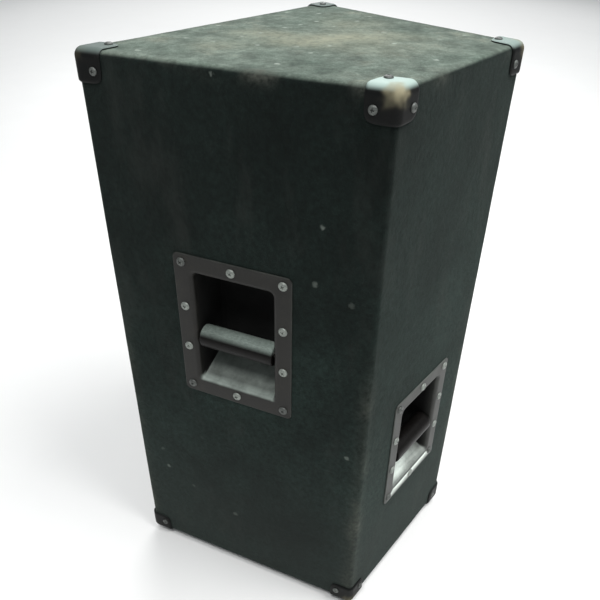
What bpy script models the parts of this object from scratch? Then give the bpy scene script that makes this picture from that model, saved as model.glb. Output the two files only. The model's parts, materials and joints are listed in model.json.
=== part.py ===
"""A passive two-way PA speaker cabinet: a carpeted plywood box with three recessed bar handles.

The box is a trapezoid in plan. Its front, with the grille, faces -Y, and its narrower back faces +Y. The
origin is on the floor, under the middle of the box. Every length is in metres. A "local" frame on a panel
has x along the panel, y up and z out of the panel.
"""

import math

import bmesh
import bpy
from mathutils import Matrix, Vector

# The cabinet, over its carpet.
CABINET_HEIGHT = 0.780
FRONT_WIDTH = 0.456
DEPTH = 0.358
SPLAY = math.radians(13.5)
EDGE_RADIUS = 0.008
FOOT_HEIGHT = 0.010
GAP = 0.0003

# Panels and covering.
CARPET = 0.004
PLY = 0.015
GRILLE_RECESS = 0.030
CLEAT = 0.018

# Recessed bar handles: the side ones' sizes, and how much smaller the rear one is.
FLANGE_SIZE = (0.161, 0.2125)
HAND_OPENING = (0.110, 0.1615)
FLANGE_CORNER = 0.007
OPENING_CORNER = 0.006
HANDLE_LIP = 0.006
DISH_FILLET = 0.008
DISH_DEPTH = 0.062
DISH_NARROWING = 0.004
DISH_FLOOR_RISE = 0.022
SHEET = 0.0015
ROD_RADIUS = 0.005
GRIP_RADIUS = 0.0155
GRIP_DROP = 0.0175
GRIP_INSET = 0.0125
SIDE_HANDLE_HEIGHT = 0.4545
REAR_HANDLE_SCALE = 0.92
REAR_HANDLE_HEIGHT = 0.2600
REAR_HANDLE_SHIFT = 0.0050

# The 15 inch woofer, the horn and the ports. Heights are above the cabinet's bottom.
WOOFER_RADIUS = 0.1925
WOOFER_HOLE_RADIUS = 0.176
WOOFER_HEIGHT = 0.225
WOOFER_SIDES = 28
CONE_EDGE = 0.1440
CONE_NECK = 0.0387
CONE_DEPTH = 0.0620
BASKET_BACK = 0.0890
FRONT_PLATE = 0.0080
MAGNET = 0.0200
HORN_HEIGHT = 0.640
HORN_MOUTH = (0.262, 0.160)
HORN_FLANGE = (0.300, 0.196)
HORN_DEPTH = 0.115
THROAT_RADIUS = 0.018
PORT_RADIUS = 0.036
PORT_PLACE = (0.131, 0.462)
PORT_LENGTH = 0.078
PORT_ROOM = 0.004

# The connector plate, low on the side panel at -X.
INPUT_FLANGE = (0.150, 0.110)
INPUT_OPENING = (0.120, 0.080)
INPUT_DEPTH = 0.026
INPUT_LIP = 0.003
INPUT_PLACE = (0.060, 0.150)

# The corner guards.
GUARD = 0.0024
GUARD_REACH = 0.034
GUARD_ROUNDING = 0.012

# Distances in from the outer face of the carpet.
PLY_OUTSIDE = CARPET + GAP
PLY_INSIDE = PLY_OUTSIDE + PLY
LINING_OUTSIDE = PLY_INSIDE + GAP
LINING_INSIDE = LINING_OUTSIDE + CARPET

BOTTOM = FOOT_HEIGHT
TOP = FOOT_HEIGHT + CABINET_HEIGHT
FRONT = -DEPTH / 2
BACK = DEPTH / 2
BAFFLE_FRONT = FRONT + GRILLE_RECESS + GAP
BAFFLE_BACK = BAFFLE_FRONT + PLY

# Colour, roughness and metallic value of each material.
FINISHES = {
    "carpet": ((0.020, 0.025, 0.024), 1.0, 0.0),
    "plywood": ((0.48, 0.33, 0.18), 0.7, 0.0),
    "black_paint": ((0.015, 0.015, 0.016), 0.6, 0.0),
    "worn_steel": ((0.075, 0.068, 0.064), 0.45, 0.6),
    "bright_steel": ((0.55, 0.55, 0.53), 0.35, 1.0),
    "grip_plastic": ((0.030, 0.030, 0.032), 0.35, 0.0),
    "guard_plastic": ((0.022, 0.020, 0.022), 0.5, 0.0),
    "rubber": ((0.02, 0.02, 0.02), 0.9, 0.0),
    "foam": ((0.015, 0.015, 0.015), 1.0, 0.0),
    "paper_cone": ((0.030, 0.030, 0.030), 0.9, 0.0),
    "treated_cloth": ((0.045, 0.040, 0.035), 0.9, 0.0),
    "ferrite": ((0.045, 0.045, 0.048), 0.7, 0.0),
    "horn_plastic": ((0.020, 0.020, 0.021), 0.45, 0.0),
    "board": ((0.03, 0.12, 0.05), 0.6, 0.0),
    "copper": ((0.70, 0.30, 0.15), 0.3, 1.0),
    "socket_blue": ((0.03, 0.08, 0.22), 0.4, 0.0),
    "wadding": ((0.75, 0.75, 0.72), 1.0, 0.0),
    "cable": ((0.10, 0.02, 0.02), 0.5, 0.0),
}


# ---------------------------------------------------------------- general tools


def clear_scene():
    for old in list(bpy.data.objects):
        bpy.data.objects.remove(old)


def material(name):
    made = bpy.data.materials.get(name)
    if made:
        return made
    colour, roughness, metallic = FINISHES[name]
    made = bpy.data.materials.new(name)
    made.use_nodes = True
    shader = made.node_tree.nodes["Principled BSDF"]
    shader.inputs["Base Color"].default_value = (*colour, 1.0)
    shader.inputs["Roughness"].default_value = roughness
    shader.inputs["Metallic"].default_value = metallic
    return made


def new_object(name, bm, finish=None, matrix=None):
    """Links the bmesh as an object; without a finish it is a hidden cutter."""
    bmesh.ops.recalc_face_normals(bm, faces=bm.faces)
    mesh = bpy.data.meshes.new(name)
    bm.to_mesh(mesh)
    bm.free()
    made = bpy.data.objects.new(name, mesh)
    bpy.context.scene.collection.objects.link(made)
    if matrix is not None:
        made.matrix_world = matrix
    if finish:
        mesh.materials.append(material(finish))
    else:
        made.hide_render = True
        made.display_type = "WIRE"
    return made


def shade(made, degrees=35):
    made.data.shade_smooth()
    made.data.set_sharp_from_angle(angle=math.radians(degrees))
    return made


def combine(target, other, operation="DIFFERENCE"):
    step = target.modifiers.new(operation.lower(), "BOOLEAN")
    step.operation = operation
    step.solver = "EXACT"
    step.object = other
    return target


def round_edges(target, width, segments=2):
    step = target.modifiers.new("round", "BEVEL")
    step.width = width
    step.segments = segments
    step.limit_method = "ANGLE"
    return target


def prism(outline, low, high):
    """A bmesh of a level outline, given as (x, y) points, standing from low to high."""
    bm = bmesh.new()
    floor = bm.faces.new([bm.verts.new((x, y, low)) for x, y in outline])
    grown = bmesh.ops.extrude_face_region(bm, geom=[floor])
    lifted = [item for item in grown["geom"] if isinstance(item, bmesh.types.BMVert)]
    bmesh.ops.translate(bm, vec=(0, 0, high - low), verts=lifted)
    return bm


def box(low, high):
    outline = [(low[0], low[1]), (high[0], low[1]), (high[0], high[1]), (low[0], high[1])]
    return prism(outline, low[2], high[2])


def join_loops(bm, loops, closed):
    """Skins a chain of loops; an open chain is capped at its ends, a closed one runs back to its start."""
    rings = [[bm.verts.new(point) for point in loop] for loop in loops]
    count = len(rings[0])
    pairs = list(zip(rings, rings[1:]))
    if closed:
        pairs.append((rings[-1], rings[0]))
    else:
        bm.faces.new(rings[0])
        bm.faces.new(reversed(rings[-1]))
    for one, two in pairs:
        for i in range(count):
            j = (i + 1) % count
            bm.faces.new((one[i], two[i], two[j], one[j]))
    return bm


def rounded_rectangle(centre, size, radius, z, per_corner=3):
    """Points round a rectangle with round corners, at height z of the local frame."""
    half_w, half_h = size[0] / 2 - radius, size[1] / 2 - radius
    points = []
    for quarter, (sx, sy) in enumerate(((1, 1), (-1, 1), (-1, -1), (1, -1))):
        for step in range(per_corner + 1):
            angle = math.radians(90 * (quarter + step / per_corner))
            x = centre[0] + sx * half_w + radius * math.cos(angle)
            y = centre[1] + sy * half_h + radius * math.sin(angle)
            points.append((x, y, z))
    return points


def turned(profile, segments):
    """Spins a closed profile of (radius, z) points about z; points of radius 0 become poles."""
    bm = bmesh.new()
    turns = [2 * math.pi * i / segments for i in range(segments)]
    rows = []
    for radius, z in profile:
        if radius == 0:
            rows.append([bm.verts.new((0, 0, z))] * segments)
        else:
            ring = [(radius * math.cos(turn), radius * math.sin(turn), z) for turn in turns]
            rows.append([bm.verts.new(point) for point in ring])
    for one, two in zip(rows, rows[1:] + rows[:1]):
        for i in range(segments):
            j = (i + 1) % segments
            corners = tuple(dict.fromkeys((one[i], one[j], two[j], two[i])))
            if len(corners) > 2:
                bm.faces.new(corners)
    return bm


def disc(radius, low, high, segments):
    return turned([(0, low), (radius, low), (radius, high), (0, high)], segments)


def axes_to_matrix(origin, x_axis, y_axis, z_axis):
    return Matrix(
        (
            (x_axis[0], y_axis[0], z_axis[0], origin[0]),
            (x_axis[1], y_axis[1], z_axis[1], origin[1]),
            (x_axis[2], y_axis[2], z_axis[2], origin[2]),
            (0, 0, 0, 1),
        )
    )


def smooth_route(points, per_span=3):
    """Points along a Catmull-Rom curve through the route's own points."""
    route = [Vector(p) for p in points]
    ends = [2 * route[0] - route[1], *route, 2 * route[-1] - route[-2]]
    found = []
    for a, b, c, d in zip(ends, ends[1:], ends[2:], ends[3:]):
        for step in range(per_span):
            t = step / per_span
            found.append(
                0.5
                * (
                    2 * b
                    + (c - a) * t
                    + (2 * a - 5 * b + 4 * c - d) * t**2
                    + (3 * b - a - 3 * c + d) * t**3
                )
            )
    return [*found, route[-1]]


def tube(name, points, radius, finish):
    """A round lead along a route of points."""
    curve = bpy.data.curves.new(name, "CURVE")
    curve.dimensions = "3D"
    curve.bevel_depth = radius
    curve.bevel_resolution = 1
    curve.use_fill_caps = True
    route = smooth_route(points)
    line = curve.splines.new("POLY")
    line.points.add(len(route) - 1)
    for place, point in zip(line.points, route):
        place.co = (*point, 1.0)
    curve.materials.append(material(finish))
    made = bpy.data.objects.new(name, curve)
    bpy.context.scene.collection.objects.link(made)
    return made


# ---------------------------------------------------------------- the box's plan


def half_width(y, inset):
    """Half the cabinet's width at y, taken this far in from the carpet's outer side faces."""
    return FRONT_WIDTH / 2 - (y - FRONT) * math.tan(SPLAY) - inset / math.cos(SPLAY)


def plan(inset, y_front=None, y_back=None):
    """The trapezoid this far inside the cabinet's outline, with its own front or back line if given."""
    y_front = FRONT + inset if y_front is None else y_front
    y_back = BACK - inset if y_back is None else y_back
    front, back = half_width(y_front, inset), half_width(y_back, inset)
    return [(-front, y_front), (front, y_front), (back, y_back), (-back, y_back)]


def block(inset, y_front=None, y_back=None):
    """A trapezoidal block this far in from the cabinet's faces, floor and top included."""
    return prism(plan(inset, y_front, y_back), BOTTOM + inset, TOP - inset)


def side_frame(sign, along, height):
    """The local frame on the outer face of the side at sign * X, this far along it behind its middle."""
    normal = Vector((sign * math.cos(SPLAY), math.sin(SPLAY), 0))
    x_axis = Vector((0, 0, 1)).cross(normal)
    middle = Vector((sign * half_width(0, 0), 0, BOTTOM + height))
    backwards = Vector((-sign * math.sin(SPLAY), math.cos(SPLAY), 0))
    return axes_to_matrix(middle + along * backwards, x_axis, (0, 0, 1), normal)


def back_frame(shift, height):
    """The local frame on the outer face of the back, shift metres towards -X."""
    return axes_to_matrix((-shift, BACK, BOTTOM + height), (-1, 0, 0), (0, 0, 1), (0, 1, 0))


def baffle_frame(x, height):
    """The local frame on the front face of the baffle, with z towards the listener."""
    return axes_to_matrix((x, BAFFLE_FRONT, BOTTOM + height), (1, 0, 0), (0, 0, 1), (0, -1, 0))


HANDLES = {
    "right_handle": (side_frame(1, 0, SIDE_HANDLE_HEIGHT), 1.0),
    "left_handle": (side_frame(-1, 0, SIDE_HANDLE_HEIGHT), 1.0),
    "rear_handle": (back_frame(REAR_HANDLE_SHIFT, REAR_HANDLE_HEIGHT), REAR_HANDLE_SCALE),
}
INPUT_FRAME = side_frame(-1, *INPUT_PLACE)
WOOFER_FRAME = baffle_frame(0, WOOFER_HEIGHT)
HORN_FRAME = baffle_frame(0, HORN_HEIGHT)


# ---------------------------------------------------------------- panels and covering


def rectangle(size):
    return [(sx * size[0] / 2, sy * size[1] / 2) for sx, sy in ((-1, -1), (1, -1), (1, 1), (-1, 1))]


def make_cutters():
    """The rectangular openings that the dishes sit in, by the name of the dish they belong to."""
    room, input_room, depth = 2 * HANDLE_LIP + 0.001, 2 * INPUT_LIP, 0.040
    sizes = {
        name: (frame, [length * scale + room for length in HAND_OPENING])
        for name, (frame, scale) in HANDLES.items()
    }
    sizes["input"] = (INPUT_FRAME, [length + input_room for length in INPUT_OPENING])
    return {
        name: new_object(f"cut_{name}", prism(rectangle(size), -depth, depth), None, frame)
        for name, (frame, size) in sizes.items()
    }


def make_carpet(cuts):
    cover = new_object("carpet_cover", block(0), "carpet")
    round_edges(cover, EDGE_RADIUS, 3)
    combine(cover, new_object("cut_carpet_inside", block(CARPET)))
    lining_end = FRONT + GRILLE_RECESS
    lining = block(LINING_OUTSIDE, FRONT + CARPET / 2, lining_end)
    combine(cover, new_object("add_lining", lining), "UNION")
    recess = block(LINING_INSIDE, FRONT - 0.02, lining_end + CARPET / 2)
    combine(cover, new_object("cut_recess", recess))
    for cutter in cuts.values():
        combine(cover, cutter)


def upright_panel(outline):
    """A panel that stands between the bottom and top panels."""
    return prism(outline, BOTTOM + LINING_OUTSIDE, TOP - LINING_OUTSIDE)


def make_side_panel(name, sign, cutters):
    y_front, y_back = FRONT + PLY_OUTSIDE, BACK - PLY_OUTSIDE
    outline = [
        (sign * half_width(y_front, PLY_OUTSIDE), y_front),
        (sign * half_width(y_back, PLY_OUTSIDE), y_back),
        (sign * half_width(y_back, PLY_INSIDE), y_back),
        (sign * half_width(y_front, PLY_INSIDE), y_front),
    ]
    side = new_object(name, upright_panel(outline), "plywood")
    for cutter in cutters:
        combine(side, cutter)


def make_panels(cuts):
    for name, low in (("bottom_panel", BOTTOM + PLY_OUTSIDE), ("top_panel", TOP - PLY_INSIDE)):
        new_object(name, prism(plan(PLY_OUTSIDE), low, low + PLY), "plywood")
    make_side_panel("right_side_panel", 1, [cuts["right_handle"]])
    make_side_panel("left_side_panel", -1, [cuts["left_handle"], cuts["input"]])
    outline = plan(LINING_OUTSIDE, BACK - PLY_INSIDE, BACK - PLY_OUTSIDE)
    back = new_object("back_panel", upright_panel(outline), "plywood")
    combine(back, cuts["rear_handle"])


def make_baffle():
    outline = plan(LINING_OUTSIDE, BAFFLE_FRONT, BAFFLE_BACK)
    baffle = new_object("front_baffle", upright_panel(outline), "black_paint")
    depth = 2 * PLY
    woofer_hole = disc(WOOFER_HOLE_RADIUS, -depth, depth, 40)
    combine(baffle, new_object("cut_woofer", woofer_hole, None, WOOFER_FRAME))
    horn_room = 0.017
    horn_hole = rectangle([length + horn_room for length in HORN_MOUTH])
    combine(baffle, new_object("cut_horn", prism(horn_hole, -depth, depth), None, HORN_FRAME))
    for sign in (-1, 1):
        cutter = disc(PORT_RADIUS + PORT_ROOM, -depth, depth, 24)
        frame = baffle_frame(sign * PORT_PLACE[0], PORT_PLACE[1])
        combine(baffle, new_object(f"cut_port_{sign}", cutter, None, frame))


def make_frame_battens():
    """The glued batten frame behind the baffle, and the brace that ties the two sides together."""
    front, back = BAFFLE_BACK + GAP, BAFFLE_BACK + GAP + CLEAT
    battens = new_object("baffle_battens", block(LINING_OUTSIDE, front, back), "plywood")
    overshoot = 0.01
    inside = block(LINING_OUTSIDE + CLEAT, front - overshoot, back + overshoot)
    combine(battens, new_object("cut_battens", inside))
    brace_front, brace_low, brace_tall = 0.085, BOTTOM + 0.375, 0.045
    brace = prism(plan(LINING_OUTSIDE, brace_front, brace_front + CLEAT), brace_low, brace_low + brace_tall)
    new_object("side_brace", brace, "plywood")


def make_feet():
    from_edge, from_side, radius, sole, top = 0.062, 0.042, 0.0190, 0.0165, FOOT_HEIGHT - GAP
    profile = [(0, 0), (sole, 0), (radius, radius - sole), (radius, top), (0, top)]
    for row, y in (("front", FRONT + from_edge), ("rear", BACK - from_edge)):
        for side, sign in (("right", 1), ("left", -1)):
            place = Matrix.Translation((sign * (half_width(y, 0) - from_side), y, 0))
            shade(new_object(f"foot_{row}_{side}", turned(profile, 20), "rubber", place))


def make_corner_guards():
    """Eight moulded guards, each the part of a thin shell round the cabinet within reach of a corner."""
    leg_setback, around = 0.0012, 0.02
    recess = block(LINING_INSIDE - leg_setback, FRONT - around, FRONT + around)
    recess = new_object("cut_guard_recess", recess)
    core = new_object("cut_guard_core", block(-GAP))
    round_edges(core, EDGE_RADIUS + GAP, 3)
    for level, z in (("bottom", BOTTOM), ("top", TOP)):
        for row, y in (("front", FRONT), ("rear", BACK)):
            for side, sign in (("right", 1), ("left", -1)):
                name = f"guard_{level}_{row}_{side}"
                guard = new_object(name, block(-GUARD), "guard_plastic")
                round_edges(guard, EDGE_RADIUS + GUARD, 3)
                combine(guard, core)
                corner = Matrix.Translation((sign * half_width(y, 0), y, z))
                reach = box([-GUARD_REACH] * 3, [GUARD_REACH] * 3)
                kept = round_edges(new_object(f"keep_{name}", reach, None, corner), GUARD_ROUNDING, 3)
                combine(guard, kept, "INTERSECT")
                if row == "front":
                    combine(guard, recess)


# ---------------------------------------------------------------- handles and connectors


def pressed_dish(flange, opening, depth, narrowing, rise, lip):
    """A sheet-steel dish with a flange: loops up the inside, out over the flange and down the outside."""
    top, bend = GAP + SHEET, lip - SHEET
    diagonal = 1 - math.sqrt(0.5)
    floor = -depth + DISH_FILLET

    def ring(grow, z, share=0.0):
        """A loop between the opening (share 0) and the back wall (share 1), grown outwards."""
        width = opening[0] - 2 * narrowing * share + 2 * grow
        height = opening[1] - (2 * narrowing + rise) * share + 2 * grow
        return rounded_rectangle((0, rise / 2 * share), (width, height), max(OPENING_CORNER + grow, 0.001), z)

    loops = [
        ring(-DISH_FILLET, -depth, 1.0),
        ring(-diagonal * DISH_FILLET, -depth + diagonal * DISH_FILLET, 1.0),
        ring(0, floor, 1.0),
        ring(0, top - lip),
        ring(diagonal * lip, top - diagonal * lip),
        ring(lip, top),
        rounded_rectangle((0, 0), flange, FLANGE_CORNER, top),
        rounded_rectangle((0, 0), flange, FLANGE_CORNER, GAP),
        ring(lip, GAP),
        ring(SHEET + diagonal * bend, GAP - diagonal * bend),
        ring(SHEET, top - lip),
        ring(SHEET, floor, 1.0),
        ring(SHEET - diagonal * DISH_FILLET, -depth - SHEET + diagonal * DISH_FILLET, 1.0),
        ring(SHEET - DISH_FILLET, -depth - SHEET, 1.0),
    ]
    return join_loops(bmesh.new(), loops, closed=False)


def make_handle(name, frame, scale):
    """A recessed steel dish with a rod across it, and a grip tube that turns on the rod."""
    flange = [scale * length for length in FLANGE_SIZE]
    opening = [scale * length for length in HAND_OPENING]
    depth, rise = scale * DISH_DEPTH, scale * DISH_FLOOR_RISE
    dish = pressed_dish(flange, opening, depth, DISH_NARROWING, rise, HANDLE_LIP)
    dish = shade(new_object(f"{name}_dish", dish, "worn_steel", frame))
    to_grip = Matrix.Translation((0, -GRIP_DROP, -GRIP_INSET))
    across = frame @ to_grip @ Matrix.Rotation(math.pi / 2, 4, "Y")
    combine(dish, new_object(f"cut_{name}_rod", disc(ROD_RADIUS + GAP, -0.1, 0.1, 16), None, across))

    head, head_radius = 0.0025, 0.0075
    shoulder = opening[0] / 2 + SHEET + 2 * GAP
    outer = shoulder + head
    end = [(0, outer), (head_radius, outer), (head_radius, shoulder), (ROD_RADIUS, shoulder)]
    profile = end + [(radius, -z) for radius, z in reversed(end)]
    shade(new_object(f"{name}_rod", turned(profile, 16), "bright_steel", across))

    end_play, bore, chamfer = 0.0025, ROD_RADIUS + GAP, 0.0015
    half = opening[0] / 2 - end_play
    end = [(bore, half), (GRIP_RADIUS - chamfer, half), (GRIP_RADIUS, half - chamfer)]
    profile = end + [(radius, -z) for radius, z in reversed(end)]
    shade(new_object(f"{name}_grip", turned(profile, 24), "grip_plastic", across))


def make_input_plate():
    """A shallow steel dish whose back wall holds two sockets."""
    plate = pressed_dish(INPUT_FLANGE, INPUT_OPENING, INPUT_DEPTH, 0.003, 0.0, INPUT_LIP)
    plate = shade(new_object("input_plate", plate, "worn_steel", INPUT_FRAME))
    make_speaker_socket(plate)
    make_jack_socket(plate)


def place_socket(plate, name, x, profile, barrel, finish, segments):
    """Turns a socket, with its rim on the dish's back wall, and cuts the hole its barrel goes through."""
    place = INPUT_FRAME @ Matrix.Translation((x, 0, GAP - INPUT_DEPTH))
    hole = disc(barrel + GAP, -0.01, 0.01, segments)
    combine(plate, new_object(f"cut_{name}", hole, None, place))
    shade(new_object(name, turned(profile, segments), finish, place))


def make_speaker_socket(plate):
    """The round four-pole socket: a ring-shaped cavity round a core."""
    barrel, rim, cavity, core = 0.0120, 0.0150, 0.0105, 0.0045
    front, core_front, floor, behind = 0.004, 0.002, -0.012, -0.024
    profile = [(0, core_front), (core, core_front), (core, floor), (cavity, floor), (cavity, front)]
    profile += [(rim, front), (rim, 0), (barrel, 0), (barrel, behind), (0, behind)]
    place_socket(plate, "speaker_socket", 0.024, profile, barrel, "socket_blue", 24)


def make_jack_socket(plate):
    """The quarter-inch jack: a nut-sized rim round a plain bore."""
    barrel, rim, bore = 0.0060, 0.0085, 0.0036
    front, floor, behind = 0.004, -0.014, -0.022
    profile = [(0, floor), (bore, floor), (bore, front), (rim, front), (rim, 0)]
    profile += [(barrel, 0), (barrel, behind), (0, behind)]
    place_socket(plate, "jack_socket", -0.028, profile, barrel, "bright_steel", 16)


# ---------------------------------------------------------------- grille


def make_grille():
    """A folded steel tray with foam behind its face. The tray is plain, and its perforation is a finish."""
    clearance, sheet, setback, depth, foam = 0.0015, 0.0012, 0.002, 0.016, 0.006
    inset = LINING_INSIDE + clearance
    face = FRONT + setback
    grille = new_object("grille", block(inset, face, face + depth), "black_paint")
    hollow = block(inset + sheet, face + sheet, face + 2 * depth)
    combine(grille, new_object("cut_grille", hollow))
    against = face + sheet + GAP
    new_object("grille_foam", block(inset + sheet + GAP, against, against + foam), "foam")


# ---------------------------------------------------------------- woofer


def make_basket():
    """A pressed basket: a mounting ring, six arms between windows, a spider ledge and the motor's seat."""
    rim_thick, rim_width, wall, ledge, seat = 0.0025, 0.0210, 0.0030, 0.0780, 0.0500
    back, waist, ledge_back = -BASKET_BACK, -0.0200, -0.0730
    outside = [
        (WOOFER_RADIUS, GAP),
        (WOOFER_RADIUS, GAP + rim_thick),
        (WOOFER_RADIUS - rim_width - wall, GAP + rim_thick),
        (WOOFER_RADIUS - rim_width - 2 * wall, waist),
    ]
    ledges = [
        (0.1050, ledge_back + 0.0010),
        (ledge, ledge_back),
        (ledge, ledge_back - 0.0070),
        (seat, back + 0.0040),
        (seat, back),
        (ledge + 0.0080, back),
        (ledge + 0.0080, back + 0.0090),
        (0.1075, back + 0.0130),
    ]
    inside = [
        (WOOFER_RADIUS - rim_width - wall, waist - 0.0025),
        (WOOFER_RADIUS - rim_width, GAP),
    ]
    basket = turned(outside + ledges + inside, WOOFER_SIDES)
    basket = shade(new_object("woofer_basket", basket, "black_paint", WOOFER_FRAME))
    wedge = [(0.109, -0.028), (0.163, -0.052), (0.163, 0.052), (0.109, 0.028)]
    windows = 6
    for i in range(windows):
        turn = Matrix.Rotation(2 * math.pi * (i + 0.5) / windows, 4, "Z")
        window = prism(wedge, -0.100, -0.0245)
        combine(basket, new_object(f"cut_window_{i}", window, None, WOOFER_FRAME @ turn))


def half_roll(centre, radius, z, steps=4):
    """Points over a half circle, from its outer end to its inner end."""
    turns = [math.pi * i / steps for i in range(steps + 1)]
    return [(centre + radius * math.cos(turn), z + radius * math.sin(turn)) for turn in turns]


def make_surround():
    """The cone's outer suspension: a half roll between two flat rims."""
    centre, radius, low, thickness, outer, inner = 0.1600, 0.0085, 0.0031, 0.0008, 0.1755, 0.1450
    high = low + thickness
    upper = [(outer, high), *half_roll(centre, radius, high), (inner, high)]
    lower = [(outer, low), *half_roll(centre, radius - thickness, low), (inner, low)]
    ring = turned(upper + lower[::-1], WOOFER_SIDES)
    shade(new_object("woofer_surround", ring, "treated_cloth", WOOFER_FRAME), 50)


def cone_height(radius):
    """How far behind the baffle's face the back of the paper cone is, at a radius."""
    share = (CONE_EDGE - radius) / (CONE_EDGE - CONE_NECK)
    return 0.0018 - CONE_DEPTH * share**0.85


def make_cone():
    """The paper cone, glued by its rim under the surround, and its dust cap."""
    rim, rim_high, rim_low, paper, steps = 0.1500, 0.0028, 0.0015, 0.0012, 4
    radii = [CONE_EDGE + (CONE_NECK - CONE_EDGE) * i / steps for i in range(1, steps + 1)]
    front = [(rim, rim_high), (CONE_EDGE, rim_high), *[(r, cone_height(r) + paper) for r in radii]]
    back = [*[(r, cone_height(r)) for r in reversed(radii)], (CONE_EDGE, rim_low), (rim, rim_low)]
    shade(new_object("woofer_cone", turned(front + back, WOOFER_SIDES), "paper_cone", WOOFER_FRAME))

    radius, rise, wall, steps = 0.0540, 0.0140, 0.0010, 3
    base = cone_height(radius) + paper + wall
    turns = [math.pi / 2 * i / steps for i in range(steps)]
    outside = [(radius * math.cos(turn), base + rise * math.sin(turn)) for turn in turns]
    outside.append((0, base + rise))
    inside = [(0.97 * r, z - wall) for r, z in reversed(outside)]
    shade(new_object("woofer_dust_cap", turned(outside + inside, 24), "paper_cone", WOOFER_FRAME))


def make_coil_and_spider():
    """The voice coil on its former, and the corrugated cloth that centres it."""
    inner, outer, high, low = 0.0372, 0.0384, -0.0585, -0.1080
    coil = [(inner, high), (outer, high), (outer, low), (inner, low)]
    shade(new_object("woofer_voice_coil", turned(coil, WOOFER_SIDES), "copper", WOOFER_FRAME))

    waves, inner, outer, middle, height, cloth = 6, 0.0400, 0.0960, -0.0690, 0.0016, 0.0008
    pitch = (outer - inner) / waves
    upper = [(inner + pitch * i, middle + height * (-1) ** i) for i in range(waves + 1)]
    lower = [(r, z - cloth) for r, z in reversed(upper)]
    shade(new_object("woofer_spider", turned(upper + lower, 24), "treated_cloth", WOOFER_FRAME), 60)


def make_motor():
    """The clamped gasket, the magnet between its two steel plates, and the pole inside the coil."""
    front_plate = -BASKET_BACK - GAP
    magnet = front_plate - FRONT_PLATE - GAP
    back_plate = magnet - MAGNET - GAP
    gasket, gasket_thick = 0.0031, 0.0030
    rings = {
        "woofer_gasket": (0.1765, 0.1900, gasket + gasket_thick, gasket, "foam"),
        "woofer_front_plate": (0.0392, 0.0850, front_plate, front_plate - FRONT_PLATE, "bright_steel"),
        "woofer_magnet": (0.0450, 0.0900, magnet, magnet - MAGNET, "ferrite"),
    }
    for name, (inner, outer, high, low, finish) in rings.items():
        ring = [(inner, high), (outer, high), (outer, low), (inner, low)]
        shade(new_object(name, turned(ring, WOOFER_SIDES), finish, WOOFER_FRAME))
    vent, pole, plate, bottom = 0.0100, 0.0365, 0.0800, back_plate - FRONT_PLATE
    profile = [
        (vent, -BASKET_BACK),
        (pole, -BASKET_BACK),
        (pole, back_plate),
        (plate, back_plate),
        (plate, bottom),
        (vent, bottom),
    ]
    shade(new_object("woofer_back_plate", turned(profile, WOOFER_SIDES), "bright_steel", WOOFER_FRAME))


# ---------------------------------------------------------------- horn and ports


def horn_loop(share, grow, z, segments=24):
    """A section of the horn, from the round throat (share 0) to the rectangular mouth (share 1)."""
    half = [THROAT_RADIUS + (m / 2 - THROAT_RADIUS) * share + grow for m in HORN_MOUTH]
    power = 2 / (2 + 5 * share)
    points = []
    for i in range(segments):
        angle = 2 * math.pi * (i + 0.5) / segments
        c, s = math.cos(angle), math.sin(angle)
        x = half[0] * math.copysign(abs(c) ** power, c)
        y = half[1] * math.copysign(abs(s) ** power, s)
        points.append((x, y, z))
    return points


def make_horn():
    wall, steps, front = 0.003, 5, GAP + 0.004
    shares = [(i / steps) ** 1.8 for i in range(steps + 1)]
    depths = [-HORN_DEPTH + (HORN_DEPTH + front) * i / steps for i in range(steps + 1)]
    loops = [horn_loop(share, 0, z) for share, z in zip(shares, depths)]
    wider, taller = (outer / inner for outer, inner in zip(HORN_FLANGE, HORN_MOUTH))
    flange = [(x * wider, y * taller) for x, y, _ in loops[-1]]
    loops.append([(x, y, front) for x, y in flange])
    loops.append([(x, y, GAP) for x, y in flange])
    loops.append(horn_loop(0.93, wall, GAP))
    loops += [horn_loop(share, wall, z) for share, z in reversed(list(zip(shares[:-1], depths[:-1])))]
    flare = join_loops(bmesh.new(), loops, closed=True)
    shade(new_object("horn_flare", flare, "horn_plastic", HORN_FRAME), 60)


def make_compression_driver():
    """The driver's ring motor, its dome diaphragm in a pocket at the back, and its rear cap."""
    outer, pocket, pocket_deep, chamfer, length = 0.0450, 0.0300, 0.016, 0.0060, 0.052
    start = -HORN_DEPTH - GAP
    back = start - length
    body = [
        (THROAT_RADIUS, start),
        (outer - chamfer, start),
        (outer, start - chamfer),
        (outer, back),
        (pocket, back),
        (pocket, back + pocket_deep),
        (THROAT_RADIUS, back + pocket_deep),
    ]
    shade(new_object("driver_motor", turned(body, 28), "black_paint", HORN_FRAME))
    rim, rise, foil, rest = 0.0270, 0.0060, 0.0008, back + pocket_deep / 2
    turns = [math.pi / 8 * i for i in range(4)]
    dome = [(rim * math.cos(turn), rest - rise * math.sin(turn)) for turn in turns] + [(0, rest - rise)]
    behind = [(0.97 * r, z + foil) for r, z in reversed(dome)]
    shade(new_object("driver_diaphragm", turned(dome + behind, 24), "bright_steel", HORN_FRAME))
    cover, hollow, cap_deep = back - GAP, 0.002, 0.014
    cap = [
        (0, cover - 2 * hollow),
        (pocket, cover - hollow),
        (pocket, cover),
        (outer, cover),
        (outer, cover - cap_deep + chamfer),
        (outer - chamfer, cover - cap_deep),
        (0, cover - cap_deep),
    ]
    shade(new_object("driver_rear_cap", turned(cap, 28), "horn_plastic", HORN_FRAME))


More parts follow.
